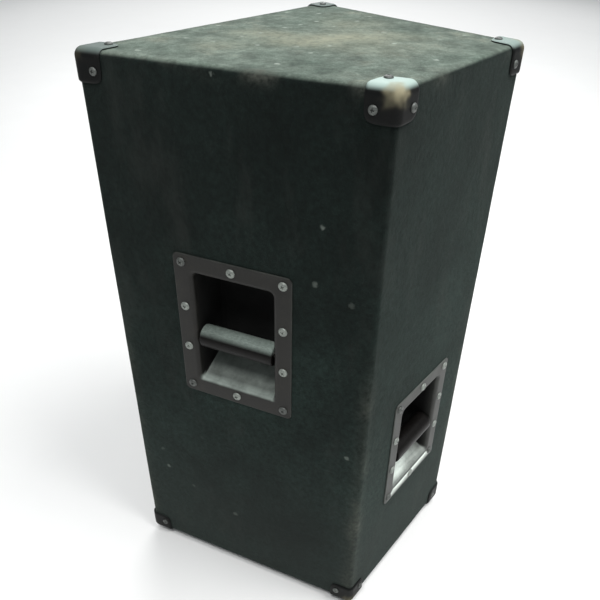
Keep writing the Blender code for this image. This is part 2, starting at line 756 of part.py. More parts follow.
def make_ports():
    """Two moulded tubes whose mouths flare out to a rim on the baffle."""
    wall, rim, rim_thick, flare = 0.0025, 0.0090, 0.003, 0.012
    for side, sign in (("right", 1), ("left", -1)):
        section = [
            (PORT_RADIUS, -PORT_LENGTH),
            (PORT_RADIUS, -flare),
            (PORT_RADIUS + 0.0010, -flare / 4),
            (PORT_RADIUS + 0.0050, GAP + rim_thick),
            (PORT_RADIUS + rim, GAP + rim_thick),
            (PORT_RADIUS + rim, GAP),
            (PORT_RADIUS + PORT_ROOM - 0.0005, GAP),
            (PORT_RADIUS + wall, -flare),
            (PORT_RADIUS + wall, -PORT_LENGTH),
        ]
        frame = baffle_frame(sign * PORT_PLACE[0], PORT_PLACE[1])
        shade(new_object(f"port_tube_{side}", turned(section, 24), "horn_plastic", frame))


# ---------------------------------------------------------------- crossover, leads and damping


def make_crossover():
    """The crossover board on four posts, on the inner face of the back panel, and its three big parts."""
    height, half_wide, half_tall, board_low, board_thick = 0.600, 0.075, 0.055, 0.010, 0.003
    post_radius, post_inset, sink = 0.004, 0.008, 0.001
    inner_face = BACK - PLY_INSIDE - GAP
    frame = axes_to_matrix((0, inner_face, BOTTOM + height), (1, 0, 0), (0, 0, 1), (0, -1, 0))
    board_high = board_low + board_thick
    sheet = box((-half_wide, -half_tall, board_low), (half_wide, half_tall, board_high))
    board = new_object("crossover_board", sheet, "board", frame)
    for sx in (-1, 1):
        for sy in (-1, 1):
            post = disc(post_radius, 0, board_high - sink, 8)
            spot = (sx * (half_wide - post_inset), sy * (half_tall - post_inset), 0)
            place = frame @ Matrix.Translation(spot)
            combine(board, new_object(f"add_post_{sx}_{sy}", post, None, place), "UNION")
    base = board_high + GAP
    for name, x, y, outer, inner, tall in (
        ("woofer_inductor", -0.038, 0.012, 0.030, 0.012, 0.024),
        ("driver_inductor", 0.045, -0.022, 0.019, 0.008, 0.018),
    ):
        ring = [(inner, base), (outer, base), (outer, base + tall), (inner, base + tall)]
        coil = turned(ring, 24)
        shade(new_object(name, coil, "copper", frame @ Matrix.Translation((x, y, 0))))
    radius, half = 0.012, 0.022
    place = Matrix.Translation((0.040, 0.028, base + radius))
    lying = frame @ place @ Matrix.Rotation(math.pi / 2, 4, "Y")
    shade(new_object("filter_capacitor", disc(radius, -half, half, 20), "socket_blue", lying))


def make_leads():
    """The internal wiring: socket to crossover, crossover to woofer, crossover to driver."""
    radius = 0.0022
    leads = {
        "input_lead": [
            (-0.135, 0.064, 0.150),
            (-0.112, 0.072, 0.190),
            (-0.102, 0.070, 0.300),
            (-0.095, 0.062, 0.420),
            (-0.085, 0.090, 0.520),
            (-0.064, 0.118, 0.565),
            (-0.064, 0.142, 0.575),
        ],
        "woofer_lead": [
            (-0.010, 0.142, 0.570),
            (-0.010, 0.115, 0.550),
            (-0.020, 0.070, 0.470),
            (-0.030, 0.020, 0.390),
            (-0.030, -0.030, 0.350),
            (-0.025, -0.056, 0.330),
        ],
        "driver_lead": [
            (0.010, 0.142, 0.645),
            (0.015, 0.125, 0.660),
            (0.030, 0.095, 0.675),
            (0.030, 0.060, 0.678),
            (0.020, 0.045, 0.670),
        ],
    }
    for name, points in leads.items():
        tube(name, points, radius, "cable")


def make_wadding():
    """A pad of damping wadding under the top panel."""
    clear, thick = 0.002, 0.025
    y_front, y_back = BAFFLE_BACK + CLEAT + 2 * clear, BACK - PLY_INSIDE - clear
    high = TOP - PLY_INSIDE - clear / 2
    pad = prism(plan(PLY_INSIDE + 1.5 * clear, y_front, y_back), high - thick, high)
    new_object("damping_wadding", pad, "wadding")


def main():
    clear_scene()
    cuts = make_cutters()
    make_carpet(cuts)
    make_panels(cuts)
    make_baffle()
    make_frame_battens()
    make_feet()
    make_corner_guards()
    for name, (frame, scale) in HANDLES.items():
        make_handle(name, frame, scale)
    make_input_plate()
    make_grille()
    make_basket()
    make_surround()
    make_cone()
    make_coil_and_spider()
    make_motor()
    make_horn()
    make_compression_driver()
    make_ports()
    make_crossover()
    make_leads()
    make_wadding()


main()
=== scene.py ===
"""The looks of a worn, carpeted PA speaker cabinet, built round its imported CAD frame.

Everything is in metres, in the frame's own axes: the grille faces -Y, the narrow back +Y, and the
floor is z = 0.
"""

import itertools
import json
import random
from math import atan2, ceil, copysign, cos, exp, hypot, pi, radians, sin, sqrt, tan

import bmesh
import bpy
from mathutils import Matrix, Vector, noise


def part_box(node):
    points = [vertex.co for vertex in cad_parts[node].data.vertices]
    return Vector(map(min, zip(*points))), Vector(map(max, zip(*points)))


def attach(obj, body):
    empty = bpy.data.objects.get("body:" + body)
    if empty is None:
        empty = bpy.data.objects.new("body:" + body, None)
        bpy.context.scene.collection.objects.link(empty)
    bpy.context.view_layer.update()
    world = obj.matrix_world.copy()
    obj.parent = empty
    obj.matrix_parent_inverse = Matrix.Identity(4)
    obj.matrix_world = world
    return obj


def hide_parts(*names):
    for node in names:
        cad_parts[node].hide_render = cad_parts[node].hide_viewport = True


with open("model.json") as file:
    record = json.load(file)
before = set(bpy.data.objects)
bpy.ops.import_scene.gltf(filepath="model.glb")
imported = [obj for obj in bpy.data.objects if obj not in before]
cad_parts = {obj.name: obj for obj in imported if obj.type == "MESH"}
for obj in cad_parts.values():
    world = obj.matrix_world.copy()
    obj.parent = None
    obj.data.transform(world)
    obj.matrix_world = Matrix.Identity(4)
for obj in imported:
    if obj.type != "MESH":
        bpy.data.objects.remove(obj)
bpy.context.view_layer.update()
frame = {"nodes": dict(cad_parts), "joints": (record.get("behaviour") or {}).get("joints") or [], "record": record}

joints = {joint["name"]: joint for joint in frame["joints"]}

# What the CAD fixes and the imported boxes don't show directly.
CARPET = 0.004
SHELL = 0.0003
EDGE_RADIUS = 0.008
SHEET = 0.0015
GRIP_INSET = 0.0125
GRIP_RADIUS = 0.0155
GRIP_DROP = 0.0175
FULL_FLANGE = (0.161, 0.2125)
FULL_OPENING = (0.110, 0.1615)
FULL_DISH = (0.062, 0.004, 0.022)
FLANGE_CORNER = 0.007
OPENING_CORNER = 0.006
DISH_FILLET = 0.008
HANDLE_LIP = 0.006
HANDLE_PLAY = 0.001
INPUT_FLANGE = (0.150, 0.110)
INPUT_OPENING = (0.120, 0.080)
INPUT_DISH = (0.026, 0.003, 0.0)
INPUT_LIP = 0.003
RECESS_INSET = 0.0236
GUARD = 0.0024
GUARD_REACH = 0.034
FRAME_LEG = 0.0224

# What is finer than the CAD.
FELT = 0.0032
FELT_STEP = 0.006
RECESS_DEPTHS = (0.0008, 0.002, 0.006, 0.012, 0.018, 0.024, 0.0297)
RIM_BEVEL = 0.0035
FLANGE_SOFTNESS = 0.0007
HOLDING_LOOP = 0.0015
GRIP_GAP = 0.0025
GRIP_BORE = 0.0053
GRIP_ROUNDING = 0.0026
ROD = 0.005
ROD_HEAD = (0.0075, 0.0025)
GUARD_SCREW = 0.0048
GUARD_SCREW_IN = 0.0247
GUARD_SCREW_UP = 0.0207
HANDLE_SCREW = 0.0060
HANDLE_SCREW_ACROSS = 0.0690
HANDLE_SCREW_ROWS = (-0.0945, -0.0310, 0.0310, 0.0945)
PLATE_SCREW = 0.0038
PLATE_SCREW_AT = (0.067, 0.047)
SCREW_LIFT = 0.0002
HOLE_PITCH = 0.0090
HOLE_SHARE = 0.80
GRILLE_MARGIN = 0.013
GRILLE_SHEET = 0.0012
GRILLE_BEND = 0.003
GRILLE_SCREW = 0.0036
GRILLE_SCREW_IN = 0.006
GRILLE_SCREW_ROWS = (0.07, 0.5, 0.93)
SOLE_EDGE = 0.0025
SOLE_DIMPLE = (0.0070, 0.0045)
FRAY_WIDTH = 0.013
FRAY_HEIGHT = 0.50
TOP_FRAY_WIDTH = 0.010

# The cabinet's planes, from the frame.
_axis = joints["right_grip_turn"]["axis"]
SPLAY = atan2(-_axis[0], _axis[1])
COS, SIN, TAN = cos(SPLAY), sin(SPLAY), tan(SPLAY)
_low, _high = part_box("carpet_cover")
FRONT, BACK, BOTTOM, TOP = _low.y, _high.y, _low.z, _high.z
_panel_low, _panel_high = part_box("top_panel")
FRONT_HALF = _panel_high.x + (CARPET + SHELL) / COS + (_panel_low.y - FRONT) * TAN
MID_Z = (BOTTOM + TOP) / 2

UP = Vector((0, 0, 1))

# The other two axes of each axis.
OTHERS = ((1, 2), (0, 2), (0, 1))


def half_width(y):
    return FRONT_HALF - (y - FRONT) * TAN


def clamp(value):
    return min(1.0, max(0.0, value))


# ==== Materials


def adjusted(thing, **settings):
    for name, value in settings.items():
        setattr(thing, name, value)
    return thing


def is_socket(value):
    return isinstance(value, bpy.types.NodeSocket)


def link(value, socket):
    """Sets a socket, or links it when the value is another node's output."""
    if is_socket(value):
        socket.id_data.links.new(value, socket)
    else:
        socket.default_value = value


def add(tree, kind, inputs=(), **settings):
    """A new node with its settings and inputs; returns its first enabled output."""
    made = adjusted(tree.nodes.new(kind), **settings)
    for key, value in dict(inputs).items():
        link(value, made.inputs[key])
    return next(out for out in made.outputs if out.enabled)


def place(tree, scale=(1, 1, 1)):
    """Points of the surface in the row frame, stretched by scale."""
    coordinates = tree.nodes.new("ShaderNodeTexCoord").outputs["Object"]
    return add(tree, "ShaderNodeMapping", {"Vector": coordinates, "Scale": scale})


def speckle(tree, scale, detail, roughness, stretch=(1, 1, 1)):
    where = place(tree, stretch)
    inputs = {"Vector": where, "Scale": scale, "Detail": detail, "Roughness": roughness}
    return add(tree, "ShaderNodeTexNoise", inputs)


def ramp(value, stops):
    """A colour ramp from (position, grey or colour) stops."""
    made = value.id_data.nodes.new("ShaderNodeValToRGB")
    elements = made.color_ramp.elements
    while len(elements) < len(stops):
        elements.new(1.0)
    for element, (position, tone) in zip(elements, stops):
        element.position = position
        element.color = (*tone, 1) if isinstance(tone, tuple) else (tone, tone, tone, 1)
    link(value, made.inputs["Fac"])
    return made.outputs["Color"]


def math_node(operation, a, b):
    return add(a.id_data, "ShaderNodeMath", {0: a, 1: b}, operation=operation)


def product(first, *others):
    for other in others:
        first = math_node("MULTIPLY", first, other)
    return first


def blend(factor, a, b, mode="MIX"):
    tree = next(value for value in (factor, a) if is_socket(value)).id_data
    made = adjusted(tree.nodes.new("ShaderNodeMix"), data_type="RGBA", blend_type=mode)
    link(factor, made.inputs[0])
    for socket, value in ((made.inputs[6], a), (made.inputs[7], b)):
        link((*value, 1) if isinstance(value, tuple) else value, socket)
    return made.outputs[2]


def shaded(colour, *shades):
    for shade in shades:
        colour = blend(1.0, colour, shade, "MULTIPLY")
    return colour


def attribute(tree, name):
    return add(tree, "ShaderNodeAttribute", attribute_name=name).node.outputs["Fac"]


def ease(value, start, end, low=0.0, high=1.0):
    """The value, eased from low to high as it runs from start to end."""
    inputs = {"Value": value, "From Min": start, "From Max": end, "To Min": low, "To Max": high}
    return add(value.id_data, "ShaderNodeMapRange", inputs, interpolation_type="SMOOTHSTEP")


def height_part(vector):
    return add(vector.id_data, "ShaderNodeSeparateXYZ", {0: vector}).node.outputs["Z"]


def upward(tree, start, end):
    """0 to 1 as the surface turns from a slope of start to a slope of end, by its normal's z."""
    normal = tree.nodes.new("ShaderNodeNewGeometry").outputs["Normal"]
    return ease(height_part(normal), start, end)


def specks(tree, dimensions, scale, edges, rarity):
    """Ragged specks in some of the cells: full inside the first edge, gone at the second."""
    noise_colour = speckle(tree, 300, 3, 0.6).node.outputs["Color"]
    ragged = {0: noise_colour, 1: (0.006, 0.006, 0.006), 2: place(tree)}
    moved = add(tree, "ShaderNodeVectorMath", ragged, operation="MULTIPLY_ADD")
    inputs = {"Vector": moved, "Scale": scale}
    distance = add(tree, "ShaderNodeTexVoronoi", inputs, voronoi_dimensions=dimensions)
    near = ramp(distance, [(edges[0], 1.0), (edges[1], 0.0)])
    chosen = ramp(distance.node.outputs["Color"], [(rarity, 0.0), (rarity + 0.20, 1.0)])
    return product(near, chosen)


def new_material(name, **constants):
    """A material, its tree and its shader, whose sockets named in constants are set."""
    made = bpy.data.materials.new(name)
    made.use_nodes = True
    shader = made.node_tree.nodes["Principled BSDF"]
    for key, value in constants.items():
        shader.inputs[key.replace("_", " ")].default_value = value
    return made, made.node_tree, shader


def add_bump(shader, height, distance, strength, under=None):
    inputs = {"Height": height, "Distance": distance, "Strength": strength}
    if under is not None:
        inputs["Normal"] = under
    link(add(shader.id_data, "ShaderNodeBump", inputs), shader.inputs["Normal"])


def coat(shader, colour, roughness):
    link(colour, shader.inputs["Base Color"])
    link(roughness, shader.inputs["Roughness"])


def carpet_material():
    """Dark green-black needle felt, dusty on top, stained, linty, and rubbed pale along its edges."""
    sheen = {"Sheen_Weight": 0.07, "Sheen_Roughness": 0.6, "Sheen_Tint": (0.70, 0.85, 0.78, 1)}
    made, tree, shader = new_material("carpet_felt", Roughness=1.0, Specular_IOR_Level=0.08, **sheen)
    fibres = speckle(tree, 900, 5, 0.75)
    tufts = speckle(tree, 150, 4, 0.65)
    mottles = speckle(tree, 34, 5, 0.7)
    patches = speckle(tree, 7, 5, 0.6)
    streaks = speckle(tree, 16, 6, 0.7, (1, 1, 0.35))
    height = height_part(place(tree))

    black, dark, light = (0.0018, 0.0046, 0.0038), (0.0056, 0.0100, 0.0085), (0.021, 0.0300, 0.0265)
    # The felt grows lighter towards the bottom, and greyer below the middle.
    felt = shaded(
        ramp(fibres, [(0.30, black), (0.55, dark), (0.80, light)]),
        ramp(patches, [(0.35, 0.52), (0.65, 1.45)]),
        ramp(tufts, [(0.35, 0.60), (0.65, 1.35)]),
        ease(height, TOP, BOTTOM + 0.1, 0.62, 1.95),
    )
    greyed = ease(height, MID_Z, BOTTOM, 0.0, 0.6)
    felt = blend(greyed, felt, (0.0175, 0.0185, 0.0175))
    grime = product(ramp(streaks, [(0.52, 0.0), (0.78, 1.0)]), 0.42)
    felt = blend(grime, felt, (0.030, 0.032, 0.029))

    grey, pale, yellowed = (0.084, 0.110, 0.090), (0.128, 0.156, 0.130), (0.175, 0.190, 0.150)
    dust = shaded(
        ramp(streaks, [(0.30, grey), (0.55, pale), (0.75, yellowed)]),
        ramp(fibres, [(0.35, 0.55), (0.60, 1.1)]),
        ramp(tufts, [(0.35, 0.82), (0.65, 1.22)]),
        ramp(mottles, [(0.35, 0.72), (0.65, 1.36)]),
    )
    cover = product(upward(tree, 0.45, 0.95), ramp(patches, [(0.30, 0.72), (0.60, 1.0)]))
    colour = blend(cover, felt, dust)

    stained = product(attribute(tree, "stain"), ramp(tufts, [(0.30, 0.4), (0.65, 1.0)]))
    colour = blend(stained, colour, (0.250, 0.255, 0.188))
    frayed = product(attribute(tree, "fray"), ramp(tufts, [(0.32, 0.15), (0.66, 0.85)]))
    colour = blend(frayed, colour, (0.074, 0.077, 0.064))

    fading = ease(height, BOTTOM, TOP, 0.20, 0.45)
    side_lint = product(specks(tree, "3D", 24, (0.055, 0.110), 0.56), fading)
    clumps = ramp(patches, [(0.40, 0.35), (0.60, 0.85)])
    top_lint = specks(tree, "2D", 26, (0.045, 0.095), 0.52)
    top_lint = product(top_lint, upward(tree, 0.80, 0.95), clumps)
    lint = math_node("MAXIMUM", side_lint, top_lint)
    colour = blend(lint, colour, (0.30, 0.34, 0.30))

    link(colour, shader.inputs["Base Color"])
    coarse = add(tree, "ShaderNodeBump", {"Height": tufts, "Distance": 0.0012, "Strength": 0.6})
    add_bump(shader, fibres, 0.0008, 0.8, coarse)
    return made


def worn_and_lit_steel_material():
    """Black-painted pressed steel, brown-grey and scratched, with painted light and near-black painted shade."""
    made, tree, shader = new_material("worn_and_painted_light_handle_steel", Metallic=0.05, Specular_IOR_Level=0.27)
    blotches = speckle(tree, 45, 6, 0.65)
    grain = speckle(tree, 600, 4, 0.7)
    scratches = speckle(tree, 260, 5, 0.8, (1, 1, 0.05))
    dark, brown, light = (0.0075, 0.0070, 0.0058), (0.0125, 0.0118, 0.0100), (0.023, 0.021, 0.0175)
    paint = ramp(blotches, [(0.30, dark), (0.55, brown), (0.75, light)])
    paint = shaded(paint, ramp(grain, [(0.3, 0.75), (0.7, 1.2)]))
    scuffed = product(ramp(scratches, [(0.68, 0.0), (0.76, 1.0)]), 0.25)
    # Rubbed rims are real wear; lip, floor and band carry painted highlights, lifted by the painted glare.
    worn_and_lit = product(attribute(tree, "wear_and_painted_light"), ramp(blotches, [(0.30, 0.55), (0.60, 1.0)]))
    dulled, glare_tone = (0.27, 0.31, 0.28), (0.80, 0.88, 0.81)
    bare_and_lit_tone = blend(attribute(tree, "painted_glare"), dulled, glare_tone)
    colour = blend(math_node("MAXIMUM", worn_and_lit, scuffed), paint, bare_and_lit_tone)
    # Painted shade: the dish's hollow is darkened to near black, away from its floor and lip.
    shade_mask = attribute(tree, "painted_shade")
    colour = blend(shade_mask, colour, (0.0012, 0.0012, 0.0011))
    dull = ramp(blotches, [(0.30, 0.40), (0.70, 0.56)])
    coat(shader, colour, math_node("ADD", dull, product(shade_mask, 0.4)))
    add_bump(shader, math_node("ADD", grain, scratches), 0.00012, 0.5)
    return made


def guard_material():
    """Black moulded plastic, scuffed, with dust and a painted reflection on top, and a rubbed-through tip."""
    made, tree, shader = new_material("scuffed_guard_plastic", Specular_IOR_Level=0.12)
    blotches = speckle(tree, 60, 5, 0.6)
    scratches = speckle(tree, 320, 5, 0.75, (1, 0.12, 1))
    dark, brown, light = (0.0030, 0.0038, 0.0038), (0.0055, 0.0058, 0.0055), (0.012, 0.0105, 0.0095)
    colour = ramp(blotches, [(0.3, dark), (0.6, brown), (0.8, light)])
    scuffed = product(ramp(scratches, [(0.62, 0.0), (0.74, 1.0)]), 0.22)
    colour = blend(scuffed, colour, (0.050, 0.048, 0.044))
    # Dust with a painted reflection on the upward-facing flaps.
    top_dust_and_reflection = product(attribute(tree, "dust_and_painted_reflection"), upward(tree, 0.35, 0.90))
    colour = blend(top_dust_and_reflection, colour, (0.33, 0.42, 0.385))
    rubbed_and_lit = product(attribute(tree, "wear_and_painted_light"), ramp(blotches, [(0.25, 0.85), (0.55, 1.0)]))
    colour = blend(rubbed_and_lit, colour, (0.27, 0.245, 0.160))
    rough = ramp(blotches, [(0.3, 0.46), (0.7, 0.58)])
    coat(shader, colour, math_node("ADD", rough, product(rubbed_and_lit, 0.35)))
    add_bump(shader, scratches, 0.00010, 0.4)
    return made


def grip_material():
    """A grip's dark plastic, with a painted highlight along its upper side."""
    made, tree, shader = new_material("grip_plastic_with_painted_highlight", Specular_IOR_Level=0.12)
    grain = speckle(tree, 260, 5, 0.65, (1, 1, 6))
    broad = speckle(tree, 40, 4, 0.6)
    dark = ramp(grain, [(0.35, (0.0028, 0.0025, 0.0023)), (0.65, (0.0070, 0.0062, 0.0056))])
    pale = ramp(grain, [(0.35, (0.20, 0.245, 0.217)), (0.65, (0.31, 0.370, 0.330))])
    # Painted highlight along the grip's upper side.
    worn_and_lit = product(attribute(tree, "wear_and_painted_light"), ramp(broad, [(0.30, 0.8), (0.60, 1.0)]))
    colour = blend(worn_and_lit, dark, pale)
    coat(shader, colour, ramp(broad, [(0.3, 0.34), (0.7, 0.46)]))
    add_bump(shader, grain, 0.0002, 0.4)
    return made


def speckled_material(
    name, dark, light, scale, roughness, metallic=0.0, depth=0.0002, stretch=(1, 1, 1)
):
    """A two-tone grained surface whose roughness and bump follow its grain."""
    made, tree, shader = new_material(name, Metallic=metallic)
    grain = speckle(tree, scale, 5, 0.65, stretch)
    broad = speckle(tree, scale / 12, 4, 0.6, stretch)
    mixed = product(math_node("ADD", grain, broad), 0.5)
    colour = ramp(mixed, [(0.35, dark), (0.65, light)])
    coat(shader, colour, ramp(broad, [(0.3, roughness - 0.07), (0.7, roughness + 0.07)]))
    add_bump(shader, grain, depth, 0.5)
    return made


# Each slot's dark and light tone, noise scale and roughness, and what differs from the usual.
SPECKLED = {
    "plywood": ((0.42, 0.28, 0.15), (0.66, 0.50, 0.31), 90, 0.65, {"stretch": (6, 6, 0.6)}),
    "black_paint": ((0.010, 0.010, 0.011), (0.026, 0.026, 0.027), 500, 0.55, {}),
    "grille_paint": ((0.014, 0.014, 0.015), (0.030, 0.030, 0.031), 900, 0.45, {}),
    "foam": (0.002, 0.012, 700, 0.95, {"depth": 0.0015}),
    "bright_steel": ((0.30, 0.30, 0.28), (0.62, 0.62, 0.59), 400, 0.38, {"metallic": 0.9}),
    "screw_steel": ((0.15, 0.165, 0.150), (0.29, 0.315, 0.285), 900, 0.40, {"metallic": 0.3}),
    "dull_screw_steel": ((0.045, 0.048, 0.045), (0.12, 0.13, 0.12), 900, 0.42, {"metallic": 0.3}),
    "foot_rubber": (0.012, (0.030, 0.029, 0.028), 400, 0.8, {}),
    "cone_paper": (0.012, (0.035, 0.035, 0.034), 700, 0.9, {}),
    "suspension_cloth": ((0.025, 0.022, 0.018), (0.065, 0.058, 0.048), 900, 0.9, {}),
    "ferrite": ((0.030, 0.030, 0.032), (0.065, 0.065, 0.068), 300, 0.75, {}),
    "copper_wire": (
        (0.45, 0.17, 0.07), (0.80, 0.38, 0.20), 700, 0.35, {"metallic": 0.9, "stretch": (1, 1, 12)}
    ),
    "moulding": ((0.014, 0.014, 0.015), (0.028, 0.028, 0.029), 700, 0.5, {}),
    "circuit_board": ((0.015, 0.075, 0.030), (0.030, 0.130, 0.055), 200, 0.5, {}),
    "capacitor_sleeve": ((0.020, 0.050, 0.160), (0.045, 0.090, 0.240), 200, 0.4, {}),
    "lead_sleeve": ((0.090, 0.014, 0.014), (0.150, 0.028, 0.026), 300, 0.5, {}),
    "wadding": ((0.50, 0.50, 0.47), (0.80, 0.80, 0.77), 250, 1.0, {"depth": 0.002}),
    "socket_face": ((0.012, 0.026, 0.070), (0.024, 0.046, 0.110), 500, 0.4, {}),
}
MATERIALS = {
    "carpet": carpet_material(),
    "handle_steel": worn_and_lit_steel_material(),
    "corner_guard": guard_material(),
    "grip": grip_material(),
}
for _slot, (*_look, _extra) in SPECKLED.items():
    MATERIALS[_slot] = speckled_material(_slot, *_look, **_extra)


def finish_cad_nodes():
    """Every CAD node that stays in sight or inside gets the material of its own slot."""
    for part in frame["record"]["subparts"]:
        mesh = frame["nodes"][part["node"]].data
        mesh.materials.clear()
        mesh.materials.append(MATERIALS[part["material_slot"]])


# ==== Pieces and mesh tools


def new_object(name, data):
    """An object in the scene, of a mesh, a light or a camera."""
    made = bpy.data.objects.new(name, data)
    bpy.context.scene.collection.objects.link(made)
    return made


def mesh_object(name, bm):
    mesh = bpy.data.meshes.new(name)
    bm.to_mesh(mesh)
    bm.free()
    return new_object(name, mesh)


def piece(
    name, bm, slot, body="cabinet", node=None, matrix=None, finish=None, angle=40, sheet=None
):
    """Turns a bmesh into a finished piece that rides on a body and may stand for a CAD node.

    With a sheet thickness, the bmesh is an open skin facing outwards, which is thickened inwards.
    """
    if sheet is None:
        bmesh.ops.recalc_face_normals(bm, faces=bm.faces)
    made = mesh_object(name, bm)
    mesh = made.data
    if matrix is not None:
        mesh.transform(matrix)
    mesh.materials.append(MATERIALS[finish or slot])
    mesh.shade_smooth()
    if angle is not None:
        mesh.set_sharp_from_angle(angle=radians(angle))
    if sheet is not None:
        adjusted(made.modifiers.new("thickness", "SOLIDIFY"), thickness=sheet, offset=-1)
    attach(made, body)
    if node:
        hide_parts(node)
    return made


def mark(made, name, value_at):
    """Stores value_at(point) for each of the piece's points, for its material to read."""
    layer = made.data.attributes.new(name, "FLOAT", "POINT")
    layer.data.foreach_set("value", [value_at(vert.co) for vert in made.data.vertices])


def bridge(bm, one, two):
    """Joins two rings of points with faces, or triangles where a point repeats."""
    for i in range(len(one)):
        j = (i + 1) % len(one)
        corners = tuple(dict.fromkeys((one[i], one[j], two[j], two[i])))
        if len(corners) > 2:
            bm.faces.new(corners)


def turned(profile, segments, bm=None):
    """Spins a closed profile of (radius, z) points about z; points of radius 0 become poles."""
    bm = bm or bmesh.new()
    turns = [2 * pi * i / segments for i in range(segments)]
    rows = []
    for radius, z in profile:
        if radius == 0:
            rows.append([bm.verts.new((0, 0, z))] * segments)
        else:
            rows.append([bm.verts.new((radius * cos(turn), radius * sin(turn), z)) for turn in turns])
    for one, two in zip(rows, rows[1:] + rows[:1]):
        bridge(bm, one, two)
    return bm


def rounded_profile(points, radius, steps):
    """The profile with its corners rounded, except for points on the axis."""
    found = []
    count = len(points)
    for i, point in enumerate(points):
        here, before, after = Vector(point), Vector(points[i - 1]), Vector(points[(i + 1) % count])
        if point[0] == 0:
            found.append(point)
            continue
        reach = min(radius, (before - here).length * 0.45, (after - here).length * 0.45)
        start = here + (before - here).normalized() * reach
        end = here + (after - here).normalized() * reach
        for step in range(steps + 1):
            t = step / steps
            found.append(tuple((1 - t) ** 2 * start + 2 * t * (1 - t) * here + t * t * end))
    return found


def mirrored(end):
    """The whole profile of a bar from the (radius, z) points of one end."""
    return end + [(radius, -z) for radius, z in reversed(end)]


def rounded_rectangle(centre, size, radius, z):
    """The points of a rounded rectangle at height z, eight steps round each corner."""
    half_w, half_h = size[0] / 2 - radius, size[1] / 2 - radius
    points = []
    for corner, (sx, sy) in enumerate(((1, 1), (-1, 1), (-1, -1), (1, -1))):
        for step in range(9):
            angle = radians(90 * (corner + step / 8))
            x = centre[0] + sx * half_w + radius * cos(angle)
            y = centre[1] + sy * half_h + radius * sin(angle)
            points.append((x, y, z))
    return points


def join_loops(loops, bm=None):
    """Skins a chain of loops and caps both ends."""
    bm = bm or bmesh.new()
    rings = [[bm.verts.new(point) for point in loop] for loop in loops]
    count = len(rings[0])
    bm.faces.new(rings[0])
    bm.faces.new(reversed(rings[-1]))
    for one, two in zip(rings, rings[1:]):
        for i in range(count):
            j = (i + 1) % count
            bm.faces.new((one[i], two[i], two[j], one[j]))
    return bm


def open_rim(bm, wanted):
    """The open edges whose ends both pass a test."""
    rim = [edge for edge in bm.edges if edge.is_boundary]
    return [edge for edge in rim if all(wanted(vert.co) for vert in edge.verts)]


def grow(bm, rim):
    """Extrudes a rim of edges; returns the new edges and the new points."""
    grown = bmesh.ops.extrude_edge_only(bm, edges=rim)["geom"]
    kinds = (bmesh.types.BMEdge, bmesh.types.BMVert)
    return [[item for item in grown if isinstance(item, kind)] for kind in kinds]


def cell_corners(axis, end, p, q):
    """The indices of a cell's corners on the face that a grid has at index end of an axis."""
    first, second = OTHERS[axis]
    found = []
    for da, db in ((0, 0), (1, 0), (1, 1), (0, 1)):
        index = [end, end, end]
        index[first], index[second] = p + da, q + db
        found.append(tuple(index))
    return found


def facing(position, normal):
    """A frame at a point with z along a normal."""
    return Matrix.Translation(position) @ normal.to_track_quat("Z", "Y").to_matrix().to_4x4()


def panel_frame(origin, normal):
    """A frame on an upright panel: x along it, y up, z out of it."""
    axes = Matrix((UP.cross(normal), UP, normal)).transposed()
    return Matrix.Translation(origin) @ axes.to_4x4()


def handle_place(side):
    """The local frame of a handle on its panel, and its scale against a full-size one."""
    joint = joints[f"{side}_grip_turn"]
    at = Vector(joint["pos_m"])
    normal = Vector(joint["axis"]).cross(UP)
    if normal.dot(at) < 0:
        normal = -normal
    low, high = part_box(f"{side}_handle_dish")
    origin = at + normal * GRIP_INSET
    origin.z = (low.z + high.z) / 2
    return panel_frame(origin, normal), (high.z - low.z) / FULL_FLANGE[1]


def input_place():
    """The local frame of the connector plate, low on the side at -X."""
    low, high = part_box("input_plate")
    y, z = (low.y + high.y) / 2, (low.z + high.z) / 2
    return panel_frame(Vector((-half_width(y), y, z)), Vector((-COS, SIN, 0)))


HANDLES = {side: handle_place(side) for side in ("right", "left", "rear")}


# ==== The carpet


def rounding_lines(count):
    """Distances from a cabinet edge to grid lines that lie evenly round its rounding."""
    return [EDGE_RADIUS * (1 - tan(radians(45 * i / count))) for i in range(count, -1, -1)]


def spread(low, high, wanted):
    """Grid lines from low to high: fine over the two rounded ends, and exact at the wanted places."""
    strip = rounding_lines(5)
    stops = sorted([low + EDGE_RADIUS, *wanted, high - EDGE_RADIUS])
    lines = [low + t for t in strip]
    for start, end in zip(stops, stops[1:]):
        parts = max(1, ceil((end - start) / FELT_STEP))
        lines += [start + (end - start) * i / parts for i in range(1, parts + 1)]
    return lines + [high - t for t in reversed(strip[:-1])]


def opening_limits(name):
    """The carpet's cut-out round a dish: limits along y (or x at the back), and in z."""
    if name == "input":
        matrix, scale, full, room = input_place(), 1.0, INPUT_OPENING, 2 * INPUT_LIP
    else:
        matrix, scale = HANDLES[name]
        full, room = FULL_OPENING, 2 * HANDLE_LIP + HANDLE_PLAY
    centre = matrix.translation
    half, tall = ((length * scale + room) / 2 for length in full)
    middle, slant = (centre.x, 1.0) if name == "rear" else (centre.y, COS)
    half *= slant
    return middle - half, middle + half, centre.z - tall, centre.z + tall


# The felt's unevenness: how deep it lies, and the scale, shift and height of each of its waves.
FELT_DEPTH = 0.00042
FELT_WAVES = ((9, (0, 0, 0), 0.00022), (38, (5, 1, 7), 0.00014), (170, (2, 9, 4), 0.00008))


def felt_height(point):
    """A glued felt's shallow hollows, never proud of the CAD skin."""
    waves = [rise * noise.noise(point * scale + Vector(shift)) for scale, shift, rise in FELT_WAVES]
    return sum(waves) - FELT_DEPTH


